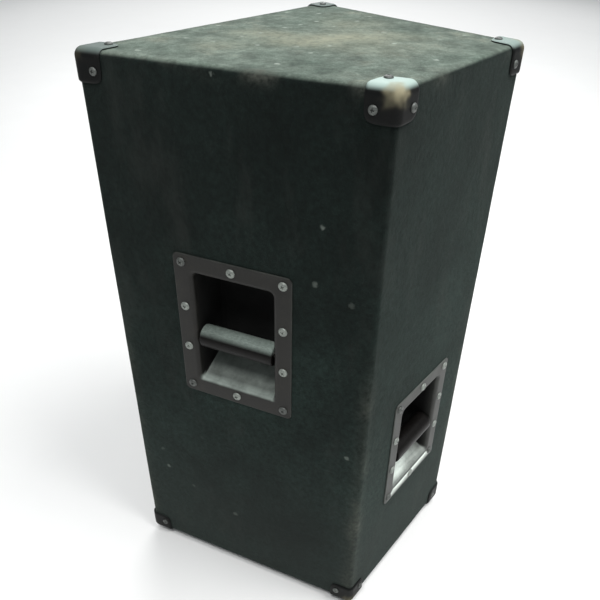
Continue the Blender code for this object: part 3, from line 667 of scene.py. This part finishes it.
def carpet_grid():
    """The closed rounded skin of the cabinet, with its dish openings and front recess left open."""
    recess = RECESS_INSET
    rear = half_width(BACK) / FRONT_HALF
    openings = {name: opening_limits(name) for name in ("right", "left", "rear", "input")}
    edge = FRONT_HALF - recess / COS
    back_cuts = [limit / rear for limit in openings["rear"][:2]]
    xs = spread(-FRONT_HALF, FRONT_HALF, [-edge, edge, *back_cuts])
    side_cuts = [limit for name in ("right", "input") for limit in openings[name][:2]]
    ys = spread(FRONT, BACK, side_cuts)
    heights = [limit for name in ("right", "rear", "input") for limit in openings[name][2:]]
    zs = spread(BOTTOM, TOP, [BOTTOM + recess, TOP - recess, *heights])

    rounding = Vector((EDGE_RADIUS, EDGE_RADIUS, EDGE_RADIUS))
    low = Vector((-FRONT_HALF, FRONT, BOTTOM)) + rounding
    high = Vector((FRONT_HALF, BACK, TOP)) - rounding

    def surface(x, y, z):
        """Where a point of the grid's box lies on the rounded, tapered skin."""
        core = Vector(min(max(value, a), b) for value, a, b in zip((x, y, z), low, high))
        out = Vector((x, y, z)) - core
        core.x *= (half_width(core.y) - EDGE_RADIUS / COS) / high.x
        direction = Vector((out.x * COS, out.y + abs(out.x) * SIN, out.z))
        return core + EDGE_RADIUS * direction.normalized()

    bm = bmesh.new()
    found = {}

    def vertex(i, j, k):
        if (i, j, k) not in found:
            found[i, j, k] = bm.verts.new(surface(xs[i], ys[j], zs[k]))
        return found[i, j, k]

    # The holes in the faces: (axis, whether it is the far face) to their limits.
    holes = {
        (0, False): [openings["left"], openings["input"]],
        (0, True): [openings["right"]],
        (1, False): [(-edge, edge, BOTTOM + recess, TOP - recess)],
        (1, True): [(*back_cuts, *openings["rear"][2:])],
    }

    def in_hole(face, a, b):
        return any(box[0] < a < box[1] and box[2] < b < box[3] for box in holes.get(face, ()))

    lines = (xs, ys, zs)
    for axis, (first, second) in enumerate(OTHERS):
        for end in (0, len(lines[axis]) - 1):
            for p, (a0, a1) in enumerate(zip(lines[first], lines[first][1:])):
                for q, (b0, b1) in enumerate(zip(lines[second], lines[second][1:])):
                    if not in_hole((axis, end > 0), (a0 + a1) / 2, (b0 + b1) / 2):
                        bm.faces.new([vertex(*index) for index in cell_corners(axis, end, p, q)])
    return bm


def add_recess_lining(bm):
    """Folds the carpet round the front frame and back along the recess to the baffle."""
    inset = RECESS_INSET / COS
    rim = open_rim(bm, lambda point: abs(point.y - FRONT) < 1e-5)
    start = FRONT
    for depth in RECESS_DEPTHS:
        rim, points = grow(bm, rim)
        here = FRONT + depth
        narrowing = (half_width(here) - inset) / (half_width(start) - inset)
        for vert in points:
            vert.co.x *= narrowing
            vert.co.y = here
        start = here


STAINS = (
    # Where the yellow-grey stains lie on the top, how far each spreads, and how strong it is.
    ((-0.005, -0.005), 0.048, 0.95),
    ((-0.040, 0.050), 0.045, 0.55),
    ((0.030, -0.060), 0.035, 0.45),
    ((0.110, -0.070), 0.030, 0.40),
    ((-0.110, -0.040), 0.040, 0.40),
)


def carpet_stain(point):
    if point.z < TOP - EDGE_RADIUS:
        return 0.0
    wobble = Vector((noise.noise(point * 14), noise.noise(point * 14 + Vector((8, 3, 1)))))
    total = 0.0
    for (x, y), reach, strength in STAINS:
        away = (Vector((point.x - x, point.y - y)) + wobble * 0.035).length / reach
        total += strength * exp(-away * away)
    return clamp(total)


def carpet_fray(point):
    """How rubbed the felt is: low down along the upright edges, and in spots round the top."""
    corners = [(sign * half_width(y), y) for sign in (1, -1) for y in (FRONT, BACK)]
    corner = min(hypot(point.x - x, point.y - y) for x, y in corners)
    low_down = max(0.0, 1 - (point.z - BOTTOM) / FRAY_HEIGHT) ** 0.7
    upright = exp(-((corner / FRAY_WIDTH) ** 2)) * low_down
    side = (half_width(point.y) - abs(point.x)) * COS
    rim_distance = min(side, point.y - FRONT, BACK - point.y)
    top_edge = exp(-((hypot(rim_distance, TOP - point.z) / TOP_FRAY_WIDTH) ** 2))
    spots = max(0.0, noise.noise(point * 26 + Vector((4, 4, 0)))) * 2.4
    return clamp(upright * (0.55 + spots) + top_edge * spots)


def make_carpet():
    bm = carpet_grid()
    add_recess_lining(bm)
    bmesh.ops.recalc_face_normals(bm, faces=bm.faces)
    bm.normal_update()
    outward = bm.faces[0].normal.dot(bm.faces[0].calc_center_median() - UP * MID_Z)
    if outward < 0:
        bmesh.ops.reverse_faces(bm, faces=bm.faces)
        bm.normal_update()
    moves = [(vert, vert.normal * felt_height(vert.co)) for vert in bm.verts]
    for vert, move in moves:
        vert.co += move
    made = piece("felt_carpet", bm, "carpet", node="carpet_cover", angle=None, sheet=FELT)
    mark(made, "stain", carpet_stain)
    mark(made, "fray", carpet_fray)


# ==== Screws


def screw_mesh():
    """A pan-head screw with a cross recess, its head 1 m in radius, looking along +z."""
    profile = [(0, 0.46), (0.30, 0.45), (0.58, 0.40), (0.82, 0.30), (0.96, 0.15), (1.0, 0.0)]
    bm = turned(profile + [(0.96, -0.12), (0, -0.12)], 32)
    bmesh.ops.recalc_face_normals(bm, faces=bm.faces)
    things = [mesh_object("screw_head", bm)]
    for turn in (0, pi / 2):
        loops = []
        for z, half_long, half_wide in ((0.10, 0.22, 0.07), (0.60, 0.56, 0.13)):
            corners = ((-1, -1), (1, -1), (1, 1), (-1, 1))
            loops.append([(sx * half_long, sy * half_wide, z) for sx, sy in corners])
        arm = join_loops(loops)
        bmesh.ops.recalc_face_normals(arm, faces=arm.faces)
        spin = Matrix.Rotation(turn, 3, "Z")
        bmesh.ops.rotate(arm, cent=(0, 0, 0), matrix=spin, verts=arm.verts)
        things.append(mesh_object("screw_arm", arm))
    head, *cutters = things
    for cutter in cutters:
        adjusted(head.modifiers.new("recess", "BOOLEAN"), solver="EXACT", object=cutter)
    made = bpy.data.meshes.new_from_object(head.evaluated_get(bpy.context.evaluated_depsgraph_get()))
    for thing in things:
        bpy.data.objects.remove(thing)
    return made


SCREW = screw_mesh()
DRAW = random.Random(7)


def make_screws(name, places, radius, slot="bright_steel", finish="screw_steel"):
    """All the screws of one part in one piece; each place is a matrix with z out of the surface."""
    bm = bmesh.new()
    for matrix in places:
        spin = Matrix.Rotation(DRAW.uniform(0, pi), 4, "Z")
        before = len(bm.verts)
        bm.from_mesh(SCREW)
        bm.verts.ensure_lookup_table()
        placed = matrix @ spin @ Matrix.Scale(radius, 4)
        bmesh.ops.transform(bm, matrix=placed, verts=bm.verts[before:])
    return piece(name, bm, slot, finish=finish, angle=35)


# ==== Corner guards


GUARD_WEAR_AND_REFLECTION = {
    # How rubbed each guard's tip is, and how much dust and painted reflection lies on its top.
    "top_rear_right": (1.0, 1.0),
    "top_rear_left": (0.50, 0.65),
    "top_front_right": (0.10, 0.30),
    "top_front_left": (0.10, 0.30),
    "bottom_rear_right": (0.40, 0.0),
}
USUAL_WEAR_AND_REFLECTION = (0.12, 0.06)

# How far a guard's rubbed tip reaches, and how square the outer corners of its flaps are.
TIP_REACH = 0.0100
SQUARENESS = 7


def guard_thickness(from_rim):
    """The guard's outer height over the carpet, rising in a quarter round from its rim."""
    share = clamp(from_rim / RIM_BEVEL)
    return SHELL + (GUARD - SHELL) * (0.35 + 0.65 * sqrt(1 - (1 - share) ** 2))


def make_guard(level, row, side, wear_and_painted_light, dust_and_painted_reflection):
    """A moulded guard of three flaps round one corner, thinned to a rounded rim."""
    sign = 1 if side == "right" else -1
    corner_y, into_y = (FRONT, 1) if row == "front" else (BACK, -1)
    corner_z, into_z = (BOTTOM, 1) if level == "bottom" else (TOP, -1)
    radius = EDGE_RADIUS
    core_y = corner_y + into_y * radius
    core_x = sign * (half_width(core_y) - radius / COS)
    origin = Vector((core_x, core_y, corner_z + into_z * radius))
    along = (Vector((-sign, 0, 0)) / COS, into_y * Vector((-sign * TAN, 1, 0)), into_z * UP)
    normals = (Vector((sign * COS, SIN, 0)), Vector((0, -into_y, 0)), -into_z * UP)
    lines = rounding_lines(8)
    count = 18
    lines += [radius + (GUARD_REACH - radius) * i / count for i in range(1, count + 1)]
    if row == "front":
        nearest = min(range(len(lines)), key=lambda i: abs(lines[i] - FRAME_LEG))
        lines[nearest] = FRAME_LEG

    bm = bmesh.new()
    found = {}

    def both(index):
        """The guard's outer and inner point at a grid point."""
        if index in found:
            return found[index]
        distances = [lines[i] for i in index]
        far = max(distances)
        norm = sum(distance**SQUARENESS for distance in distances) ** (1 / SQUARENESS)
        shrink = far / norm if norm else 1.0
        distances = [distance * shrink for distance in distances]
        from_rim = GUARD_REACH - far
        if row == "front" and index[1] == 0:
            from_rim = min(from_rim, FRAME_LEG - min(distances[0], distances[2]))
        core, direction = origin.copy(), Vector()
        for distance, step, normal in zip(distances, along, normals):
            core += max(distance - radius, 0.0) * step
            direction += max(radius - distance, 0.0) * normal
        direction.normalize()
        heights = (guard_thickness(from_rim), SHELL)
        found[index] = [bm.verts.new(core + (radius + height) * direction) for height in heights]
        return found[index]

    rim = {}
    steps = range(len(lines) - 1)
    for axis, p, q in itertools.product(range(3), steps, steps):
        if row == "front" and axis == 1 and min(lines[p], lines[q]) >= FRAME_LEG:
            continue
        cell = cell_corners(axis, 0, p, q)
        bm.faces.new([both(index)[0] for index in cell])
        bm.faces.new([both(index)[1] for index in reversed(cell)])
        for one, two in zip(cell, cell[1:] + cell[:1]):
            key = frozenset((one, two))
            rim[key] = None if key in rim else (one, two)
    for pair in filter(None, rim.values()):
        one, two = (both(index) for index in pair)
        bm.faces.new((two[0], one[0], one[1], two[1]))

    tip = origin - radius * sum(along, Vector()) * 0.4
    name = f"moulded_guard_{level}_{row}_{side}"
    made = piece(name, bm, "corner_guard", node=f"guard_{level}_{row}_{side}", angle=50)

    def tip_wear(point):
        away = (point - tip).length / TIP_REACH
        patchy = 1.0 + 0.35 * noise.noise(point * 160)
        return wear_and_painted_light * exp(-((away * patchy) ** 3))

    mark(made, "wear_and_painted_light", tip_wear)
    mark(made, "dust_and_painted_reflection", lambda point: dust_and_painted_reflection)

    screws = []
    for axis, others in enumerate(OTHERS):
        if row == "front" and axis == 1:
            continue
        position = origin + (radius + GUARD + SHELL) * normals[axis]
        for other in others:
            reach = GUARD_SCREW_UP if other == 2 else GUARD_SCREW_IN
            position += (reach - radius) * along[other]
        screws.append(facing(position, normals[axis]))
    return screws


def make_guards():
    screws = []
    for level, row, side in itertools.product(("bottom", "top"), ("front", "rear"), ("left", "right")):
        wear_and_painted_light, dust_and_painted_reflection = GUARD_WEAR_AND_REFLECTION.get(f"{level}_{row}_{side}", USUAL_WEAR_AND_REFLECTION)
        screws += make_guard(level, row, side, wear_and_painted_light, dust_and_painted_reflection)
    make_screws("guard_screws", screws, GUARD_SCREW, finish="dull_screw_steel")


# ==== Handles and connector plate


def quarter(steps):
    """Sines and cosines over a quarter turn, from (0, 1) to (1, 0)."""
    turns = [pi / 2 * i / steps for i in range(steps + 1)]
    return [(sin(turn), cos(turn)) for turn in turns]


def pressed_dish(flange, opening, dish, lip):
    """A sheet-steel dish with a flange, its bends and its flange's rim rounded."""
    depth, narrowing, rise = dish
    top, soft, bend = SHELL + SHEET, FLANGE_SOFTNESS, lip - SHEET
    floor = -depth + DISH_FILLET

    def ring(grow, z, share=0.0):
        width = opening[0] - 2 * narrowing * share + 2 * grow
        height = opening[1] - (2 * narrowing + rise) * share + 2 * grow
        corner = max(OPENING_CORNER + grow, 0.0005)
        return rounded_rectangle((0, rise / 2 * share), (width, height), corner, z)

    def flange_ring(inset, z):
        size = (flange[0] - 2 * inset, flange[1] - 2 * inset)
        return rounded_rectangle((0, 0), size, FLANGE_CORNER - inset, z)

    loops = [ring(DISH_FILLET * (s - 1), floor - DISH_FILLET * c, 1.0) for s, c in quarter(5)]
    rises = [i / 8 for i in range(1, 8)]
    loops += [ring(0, floor + (top - lip - floor) * share, 1 - share) for share in rises]
    loops += [ring(lip * (1 - c), top - lip * (1 - s)) for s, c in quarter(8)]
    loops += [ring(lip + HOLDING_LOOP, top), flange_ring(HOLDING_LOOP, top)]
    loops += [flange_ring(soft * (1 - s), top - soft * (1 - c)) for s, c in quarter(3)]
    loops += [flange_ring(0, SHELL), ring(lip + HOLDING_LOOP, SHELL)]
    loops += [ring(SHEET + bend * (1 - c), SHELL - bend * (1 - s)) for s, c in reversed(quarter(4))]
    loops += [ring(SHEET, floor, 1.0), ring(SHEET - DISH_FILLET, -depth - SHEET, 1.0)]
    return join_loops(loops)


# How strong the painted light is on the flange, the floor at its two ends, the bottom lip, the flange
# below that lip and the grip, and how far the lit steel is painted towards a bright glare.
HANDLE_PAINTED_LIGHT = {
    "side": {
        "flange": 0.0, "floor": (0.70, 0.70), "lip": 1.0, "band": 0.0, "grip": 1.0, "painted_glare": 0.0
    },
    "rear": {
        "flange": 0.030, "floor": (1.7, 0.16), "lip": 0.25, "band": 1.5, "grip": 0.0, "painted_glare": 1.0
    },
}
PLATE_PAINTED_LIGHT = {"flange": 0.0, "floor": (0.10, 0.10), "lip": 0.20, "band": 0.0, "painted_glare": 0.0}

# Which of a handle's screws have gone dull: three in its corners, last first.
DULL_CORNERS = (4, 3, 0)


def mark_dish(made, matrix, sizes, painted_light):
    """Stores each point's wear and painted light, its painted glare and its painted shade."""
    local = matrix.inverted()
    flange, opening, (depth, narrowing, rise), lip = sizes
    top = SHELL + SHEET
    mouth, floor_start = top - lip, DISH_FILLET - depth
    floor_left, floor_right = painted_light["floor"]

    def marks(point):
        """A point's wear and painted light, and its painted shade."""
        point = local @ point
        # Real wear along the flange rim; a painted highlight on the bottom lip, a painted reflection on the flange
        # band below it, and painted light on the floor.
        from_rim = min(flange[0] / 2 - abs(point.x), flange[1] / 2 - abs(point.y))
        rim = exp(-((from_rim / 0.0010) ** 2)) * (point.z > 0)
        low = -opening[1] / 2 - point.y
        sideways = max(0.0, abs(point.x) - opening[0] / 2 + 0.003)
        under_opening = exp(-((sideways / 0.0030) ** 2))
        past = max(0.0, low - lip * 0.35, -low - lip * 0.3)
        bottom_lip = under_opening * exp(-((past / (lip * 0.25)) ** 2))
        bottom_lip *= point.z > mouth * 1.5
        band = under_opening * (low > lip) * (point.z > SHELL)
        share = clamp((mouth - point.z) / (mouth - floor_start))
        inside = clamp((top - lip * 0.4 - point.z) / 0.012)
        above_floor = point.y + opening[1] / 2 - share * (narrowing + rise)
        floor = inside * (above_floor < 0.0015)
        # The floor's painted light changes from one end to the other, with painted shadow over the dim end.
        along = clamp((point.x / opening[0] + 0.20) / 0.35)
        floor_light = floor_left + (floor_right - floor_left) * along
        rubbed_and_lit = painted_light["lip"] * bottom_lip + painted_light["band"] * band + floor_light * floor
        # The first value is real rim wear plus painted light; the second is the painted shade of the hollow.
        return painted_light["flange"] + 0.08 * rim + rubbed_and_lit, max(0.0, inside - floor - bottom_lip)

    mark(made, "wear_and_painted_light", lambda point: marks(point)[0])
    mark(made, "painted_shade", lambda point: marks(point)[1])
    mark(made, "painted_glare", lambda point: painted_light["painted_glare"])


def screw_place(matrix, x, y):
    """The frame of a screw on the flange that matrix places."""
    return matrix @ Matrix.Translation((x, y, SHELL + SHEET + SCREW_LIFT))


def handle_screw_places(matrix, scale):
    """Ten screws round a flange: four up each side, and one in the middle of each end."""
    across, rows = HANDLE_SCREW_ACROSS * scale, [row * scale for row in HANDLE_SCREW_ROWS]
    spots = [(x, y) for x in (-across, across) for y in rows] + [(0, rows[0]), (0, rows[-1])]
    return [screw_place(matrix, x, y) for x, y in spots]


def make_handle(side):
    """A handle's dish and screws, its grip, and the rod that the grip turns on."""
    matrix, scale = HANDLES[side]
    painted_light = HANDLE_PAINTED_LIGHT["rear" if side == "rear" else "side"]
    flange = [scale * length for length in FULL_FLANGE]
    opening = [scale * length for length in FULL_OPENING]
    depth, narrowing, rise = FULL_DISH
    sizes = (flange, opening, (scale * depth, narrowing, scale * rise), HANDLE_LIP)
    bm = pressed_dish(*sizes)
    node = f"{side}_handle_dish"
    made = piece(f"{side}_pressed_dish", bm, "handle_steel", node=node, matrix=matrix)
    mark_dish(made, matrix, sizes, painted_light)
    places = handle_screw_places(matrix, scale)
    dull = [places.pop(index) for index in DULL_CORNERS]
    make_screws(f"{side}_handle_screws", places, HANDLE_SCREW)
    make_screws(f"{side}_handle_dull_screws", dull, HANDLE_SCREW, finish="dull_screw_steel")

    centre = Matrix.Translation((0, -GRIP_DROP, -GRIP_INSET))
    across = matrix @ centre @ Matrix.Rotation(pi / 2, 4, "Y")
    half = opening[0] / 2 - GRIP_GAP
    end = [(GRIP_BORE, half), *[(GRIP_RADIUS, half * share) for share in (1, 0.75, 0.45, 0.15)]]
    bm = turned(rounded_profile(mirrored(end), GRIP_ROUNDING, 5), 48)
    made = piece(f"{side}_grip_tube", bm, "grip", f"{side}_grip", f"{side}_handle_grip", across)

    def painted_highlight(point):
        # Painted highlight on the upper side, with painted shade towards the end at local -x.
        point = matrix.inverted() @ point
        rise = (point.y + GRIP_DROP) / GRIP_RADIUS
        along = 0.80 + 0.20 * point.x / half
        return painted_light["grip"] * along * clamp((rise - 0.42) / 0.38)

    mark(made, "wear_and_painted_light", painted_highlight)

    shoulder = opening[0] / 2 + SHEET + 2 * SHELL
    head_radius, head = ROD_HEAD
    tip = shoulder + head
    end = [(0, tip), (head_radius, tip), (head_radius, shoulder), (ROD, shoulder)]
    bm = turned(rounded_profile(mirrored(end), 0.0007, 3), 32)
    node = f"{side}_handle_rod"
    piece(f"{side}_grip_rod", bm, "bright_steel", node=node, matrix=across)


def make_input_plate():
    """The connector plate: a shallow dish, a four-pole socket, a jack and four screws."""
    matrix = input_place()
    sizes = (INPUT_FLANGE, INPUT_OPENING, INPUT_DISH, INPUT_LIP)
    bm = pressed_dish(*sizes)
    plate = piece("connector_dish", bm, "handle_steel", node="input_plate", matrix=matrix)
    mark_dish(plate, matrix, sizes, PLATE_PAINTED_LIGHT)
    across, up = PLATE_SCREW_AT
    spots = [(sx * across, sy * up) for sx in (-1, 1) for sy in (-1, 1)]
    make_screws("connector_plate_screws", [screw_place(matrix, *spot) for spot in spots], PLATE_SCREW)

    wall = SHELL - INPUT_DISH[0]
    profile = [(0, 0.002), (0.0045, 0.002), (0.0045, -0.012), (0.0105, -0.012), (0.0105, 0.004)]
    profile += [(0.0150, 0.004), (0.0150, 0), (0.0120, 0), (0.0120, -0.020), (0, -0.020)]
    bm = turned(rounded_profile(profile, 0.0006, 3), 48)
    contact = [(0.0076, -0.0016), (0.0088, -0.0016), (0.0088, 0.0016), (0.0076, 0.0016)]
    for turn in range(4):
        spin = Matrix.Rotation(pi / 2 * turn + pi / 4, 4, "Z")
        join_loops([[spin @ Vector((x, y, z)) for x, y in contact] for z in (-0.0115, 0.0005)], bm)
    place = matrix @ Matrix.Translation((0.024, 0, wall))
    node = "speaker_socket"
    piece("speaker_socket_face", bm, "moulding", node=node, matrix=place, finish="socket_face")

    barrel = [(0, -0.012), (0.0036, -0.012), (0.0036, 0.0045), (0.0052, 0.0045), (0.0054, 0.0030)]
    bm = turned(rounded_profile(barrel + [(0.0054, -0.018), (0, -0.018)], 0.0005, 3), 32)
    washer = [(0.0056, 0.0002), (0.0098, 0.0002), (0.0098, 0.0009), (0.0056, 0.0009)]
    turned(rounded_profile(washer, 0.0002, 2), 32, bm)
    wide, bore = 0.0085, 0.00544
    nut = [(wide, 0.0010), (wide, 0.0027), (0.93 * wide, 0.0032), (bore, 0.0032), (bore, 0.0010)]
    turned(nut, 6, bm)
    place = matrix @ Matrix.Translation((-0.028, 0, wall))
    piece("jack_socket_face", bm, "bright_steel", node="jack_socket", matrix=place)


# ==== Grille


def make_grille():
    """A folded steel tray punched with hexagonal holes."""
    low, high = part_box("grille")
    face, depth, bend = low.y, high.y - low.y, GRILLE_BEND
    centre_z, half_z = (low.z + high.z) / 2, (high.z - low.z) / 2
    inset = half_width(face) - high.x

    def wide(y):
        return half_width(y) - inset

    flat_x, flat_z = wide(face) - bend, half_z - bend
    radius = HOLE_PITCH / sqrt(3)
    bm = bmesh.new()
    shared = {}

    def vertex(x, z):
        key = (round(x * 1e5), round(z * 1e5))
        if key not in shared:
            shared[key] = bm.verts.new((x, face, z))
        return shared[key]

    turns = [pi / 3 * i + pi / 6 for i in range(6)]
    corners = [(radius * cos(turn), radius * sin(turn)) for turn in turns]
    rows = ceil(half_z / (1.5 * radius)) + 1
    columns = ceil(high.x / HOLE_PITCH) + 1
    spots = itertools.product(range(-rows, rows + 1), range(-columns, columns + 1))
    for row, column in spots:
        x, z = (column + 0.5 * (row % 2)) * HOLE_PITCH, row * 1.5 * radius
        if abs(x) > flat_x + HOLE_PITCH or abs(z) > flat_z + HOLE_PITCH:
            continue
        rim = [vertex(x + dx, centre_z + z + dz) for dx, dz in corners]
        if abs(x) > flat_x - GRILLE_MARGIN or abs(z) > flat_z - GRILLE_MARGIN:
            bm.faces.new(rim)
            continue
        hole = []
        for dx, dz in corners:
            spot = (x + HOLE_SHARE * dx, face, centre_z + z + HOLE_SHARE * dz)
            hole.append(bm.verts.new(spot))
        bridge(bm, rim, hole)
    for normal, flat in ((Vector((1, 0, 0)), flat_x), (UP, flat_z)):
        for out in (normal, -normal):
            at = out * flat + UP * centre_z
            geometry = [*bm.verts, *bm.edges, *bm.faces]
            bmesh.ops.bisect_plane(bm, geom=geometry, plane_co=at, plane_no=out, clear_outer=True)

    def sides(x, z, out):
        """Which edges of the tray a point lies on when the tray has grown by out, as signs."""
        spans = ((x, flat_x + out), (z - centre_z, flat_z + out))
        return [copysign(1, at) if abs(abs(at) - span) < 1e-5 else 0 for at, span in spans]

    rim = open_rim(bm, lambda point: any(sides(point.x, point.z, 0)))
    fold = [(bend * s, bend * (1 - c)) for s, c in quarter(5)][1:]
    fold += [(bend, bend + (depth - bend) * i / 3) for i in range(1, 4)]
    grown, narrowed = 0.0, 1.0
    for out, back in fold:
        rim, points = grow(bm, rim)
        narrowing = wide(face + back) / wide(face)
        for vert in points:
            x, z = vert.co.x / narrowed, vert.co.z
            across, up = sides(x, z, grown)
            x += across * (out - grown)
            vert.co = (x * narrowing, face + back, z + up * (out - grown))
        grown, narrowed = out, narrowing

    bmesh.ops.recalc_face_normals(bm, faces=bm.faces)
    front = next(f for f in bm.faces if abs(f.normal.y) > 0.9)
    if front.normal.y > 0:
        bmesh.ops.reverse_faces(bm, faces=bm.faces)
    piece("perforated_grille", bm, "grille_paint", node="grille", sheet=GRILLE_SHEET)

    places = []
    for sign in (-1, 1):
        for z in GRILLE_SCREW_ROWS:
            x = sign * (flat_x - GRILLE_SCREW_IN)
            at = Vector((x, face - SCREW_LIFT, low.z + (high.z - low.z) * z))
            places.append(facing(at, Vector((0, -1, 0))))
    make_screws("grille_screws", places, GRILLE_SCREW, "black_paint", "black_paint")


# ==== Feet


def make_feet():
    """Round rubber feet with a rounded sole and a dimple for their screw."""
    dimple, deep = SOLE_DIMPLE
    for row, side in itertools.product(("front", "rear"), ("left", "right")):
        node = f"foot_{row}_{side}"
        low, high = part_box(node)
        radius, top = (high.x - low.x) / 2, high.z
        profile = [(0, deep), (dimple - 0.001, deep), (dimple, 0), (radius - SOLE_EDGE, 0)]
        profile += [(radius, SOLE_EDGE), (radius - 0.0008, top), (0, top)]
        place = Matrix.Translation(((low.x + high.x) / 2, (low.y + high.y) / 2, 0))
        bm = turned(rounded_profile(profile, 0.001, 3), 48)
        piece(f"rubber_{node}", bm, "foot_rubber", node=node, matrix=place)


# ==== Camera, light and floor


# The camera, as solved from the photo's corners and verticals.
AZIMUTH = radians(127.268)
ELEVATION = radians(35.196)
ROLL = 0.0174
CAMERA_AT = (0.66794, 0.47187, 0.93638)
SENSOR = 36
LENS = 38.711
SHIFT = 0.0667

# Each round lamp's name, position, size in metres and power in watts.
LAMPS = (
    ("overhead", (-0.4, 1.5, 3.1), 1.8, 85),
    ("mirror_side", (-1.9, -1.5, 2.6), 2.2, 50),
    ("high_right", (1.5, 0.6, 3.4), 1.0, 50),
)
BACKLIGHT_AT = (-4.2, -3.1, 4.0)


def make_floor():
    bm = bmesh.new()
    bmesh.ops.create_grid(bm, x_segments=8, y_segments=8, size=30)
    floor = mesh_object("floor", bm)
    pale = speckled_material("pale_floor", (0.86, 0.86, 0.85), (0.88, 0.88, 0.87), 6, 0.9, depth=0.0)
    floor.data.materials.append(pale)


def make_backlight():
    """A soft spot that whitens the floor behind the cabinet and misses the cabinet itself."""
    lamp = bpy.data.lights.new("far_floor", "SPOT")
    adjusted(lamp, energy=480, spot_size=radians(96), spot_blend=0.6, shadow_soft_size=0.5)
    new_object("far_floor", lamp).location = BACKLIGHT_AT


def make_lights():
    """A soft room, three broad lamps aimed at the cabinet's middle, and the backlight."""
    world = bpy.data.worlds.new("soft_room")
    bpy.context.scene.world = world
    world.use_nodes = True
    background = world.node_tree.nodes["Background"]
    background.inputs["Color"].default_value = (0.93, 0.97, 1.0, 1)
    background.inputs["Strength"].default_value = 0.36
    for name, position, size, power in LAMPS:
        lamp = adjusted(bpy.data.lights.new(name, "AREA"), shape="DISK", size=size, energy=power)
        made = new_object(name, lamp)
        made.location = position
        aim = UP * MID_Z - Vector(position)
        made.rotation_euler = aim.to_track_quat("-Z", "Y").to_euler()
    make_backlight()
    bpy.context.scene.view_settings.view_transform = "Standard"


def make_camera():
    """The viewpoint: high over the rear right corner, a little tilted."""
    lens = bpy.data.cameras.new("camera")
    adjusted(lens, sensor_width=SENSOR, lens=LENS, shift_y=SHIFT)
    placed = Matrix.Translation(CAMERA_AT)
    for angle, axis in ((AZIMUTH, "Z"), (pi / 2 - ELEVATION, "X"), (ROLL, "Z")):
        placed = placed @ Matrix.Rotation(angle, 4, axis)
    camera = new_object("camera", lens)
    camera.matrix_world = placed
    bpy.context.scene.camera = camera


def main():
    make_camera()
    finish_cad_nodes()
    make_carpet()
    make_guards()
    for side in HANDLES:
        make_handle(side)
    make_input_plate()
    make_grille()
    make_feet()
    make_floor()
    make_lights()


main()
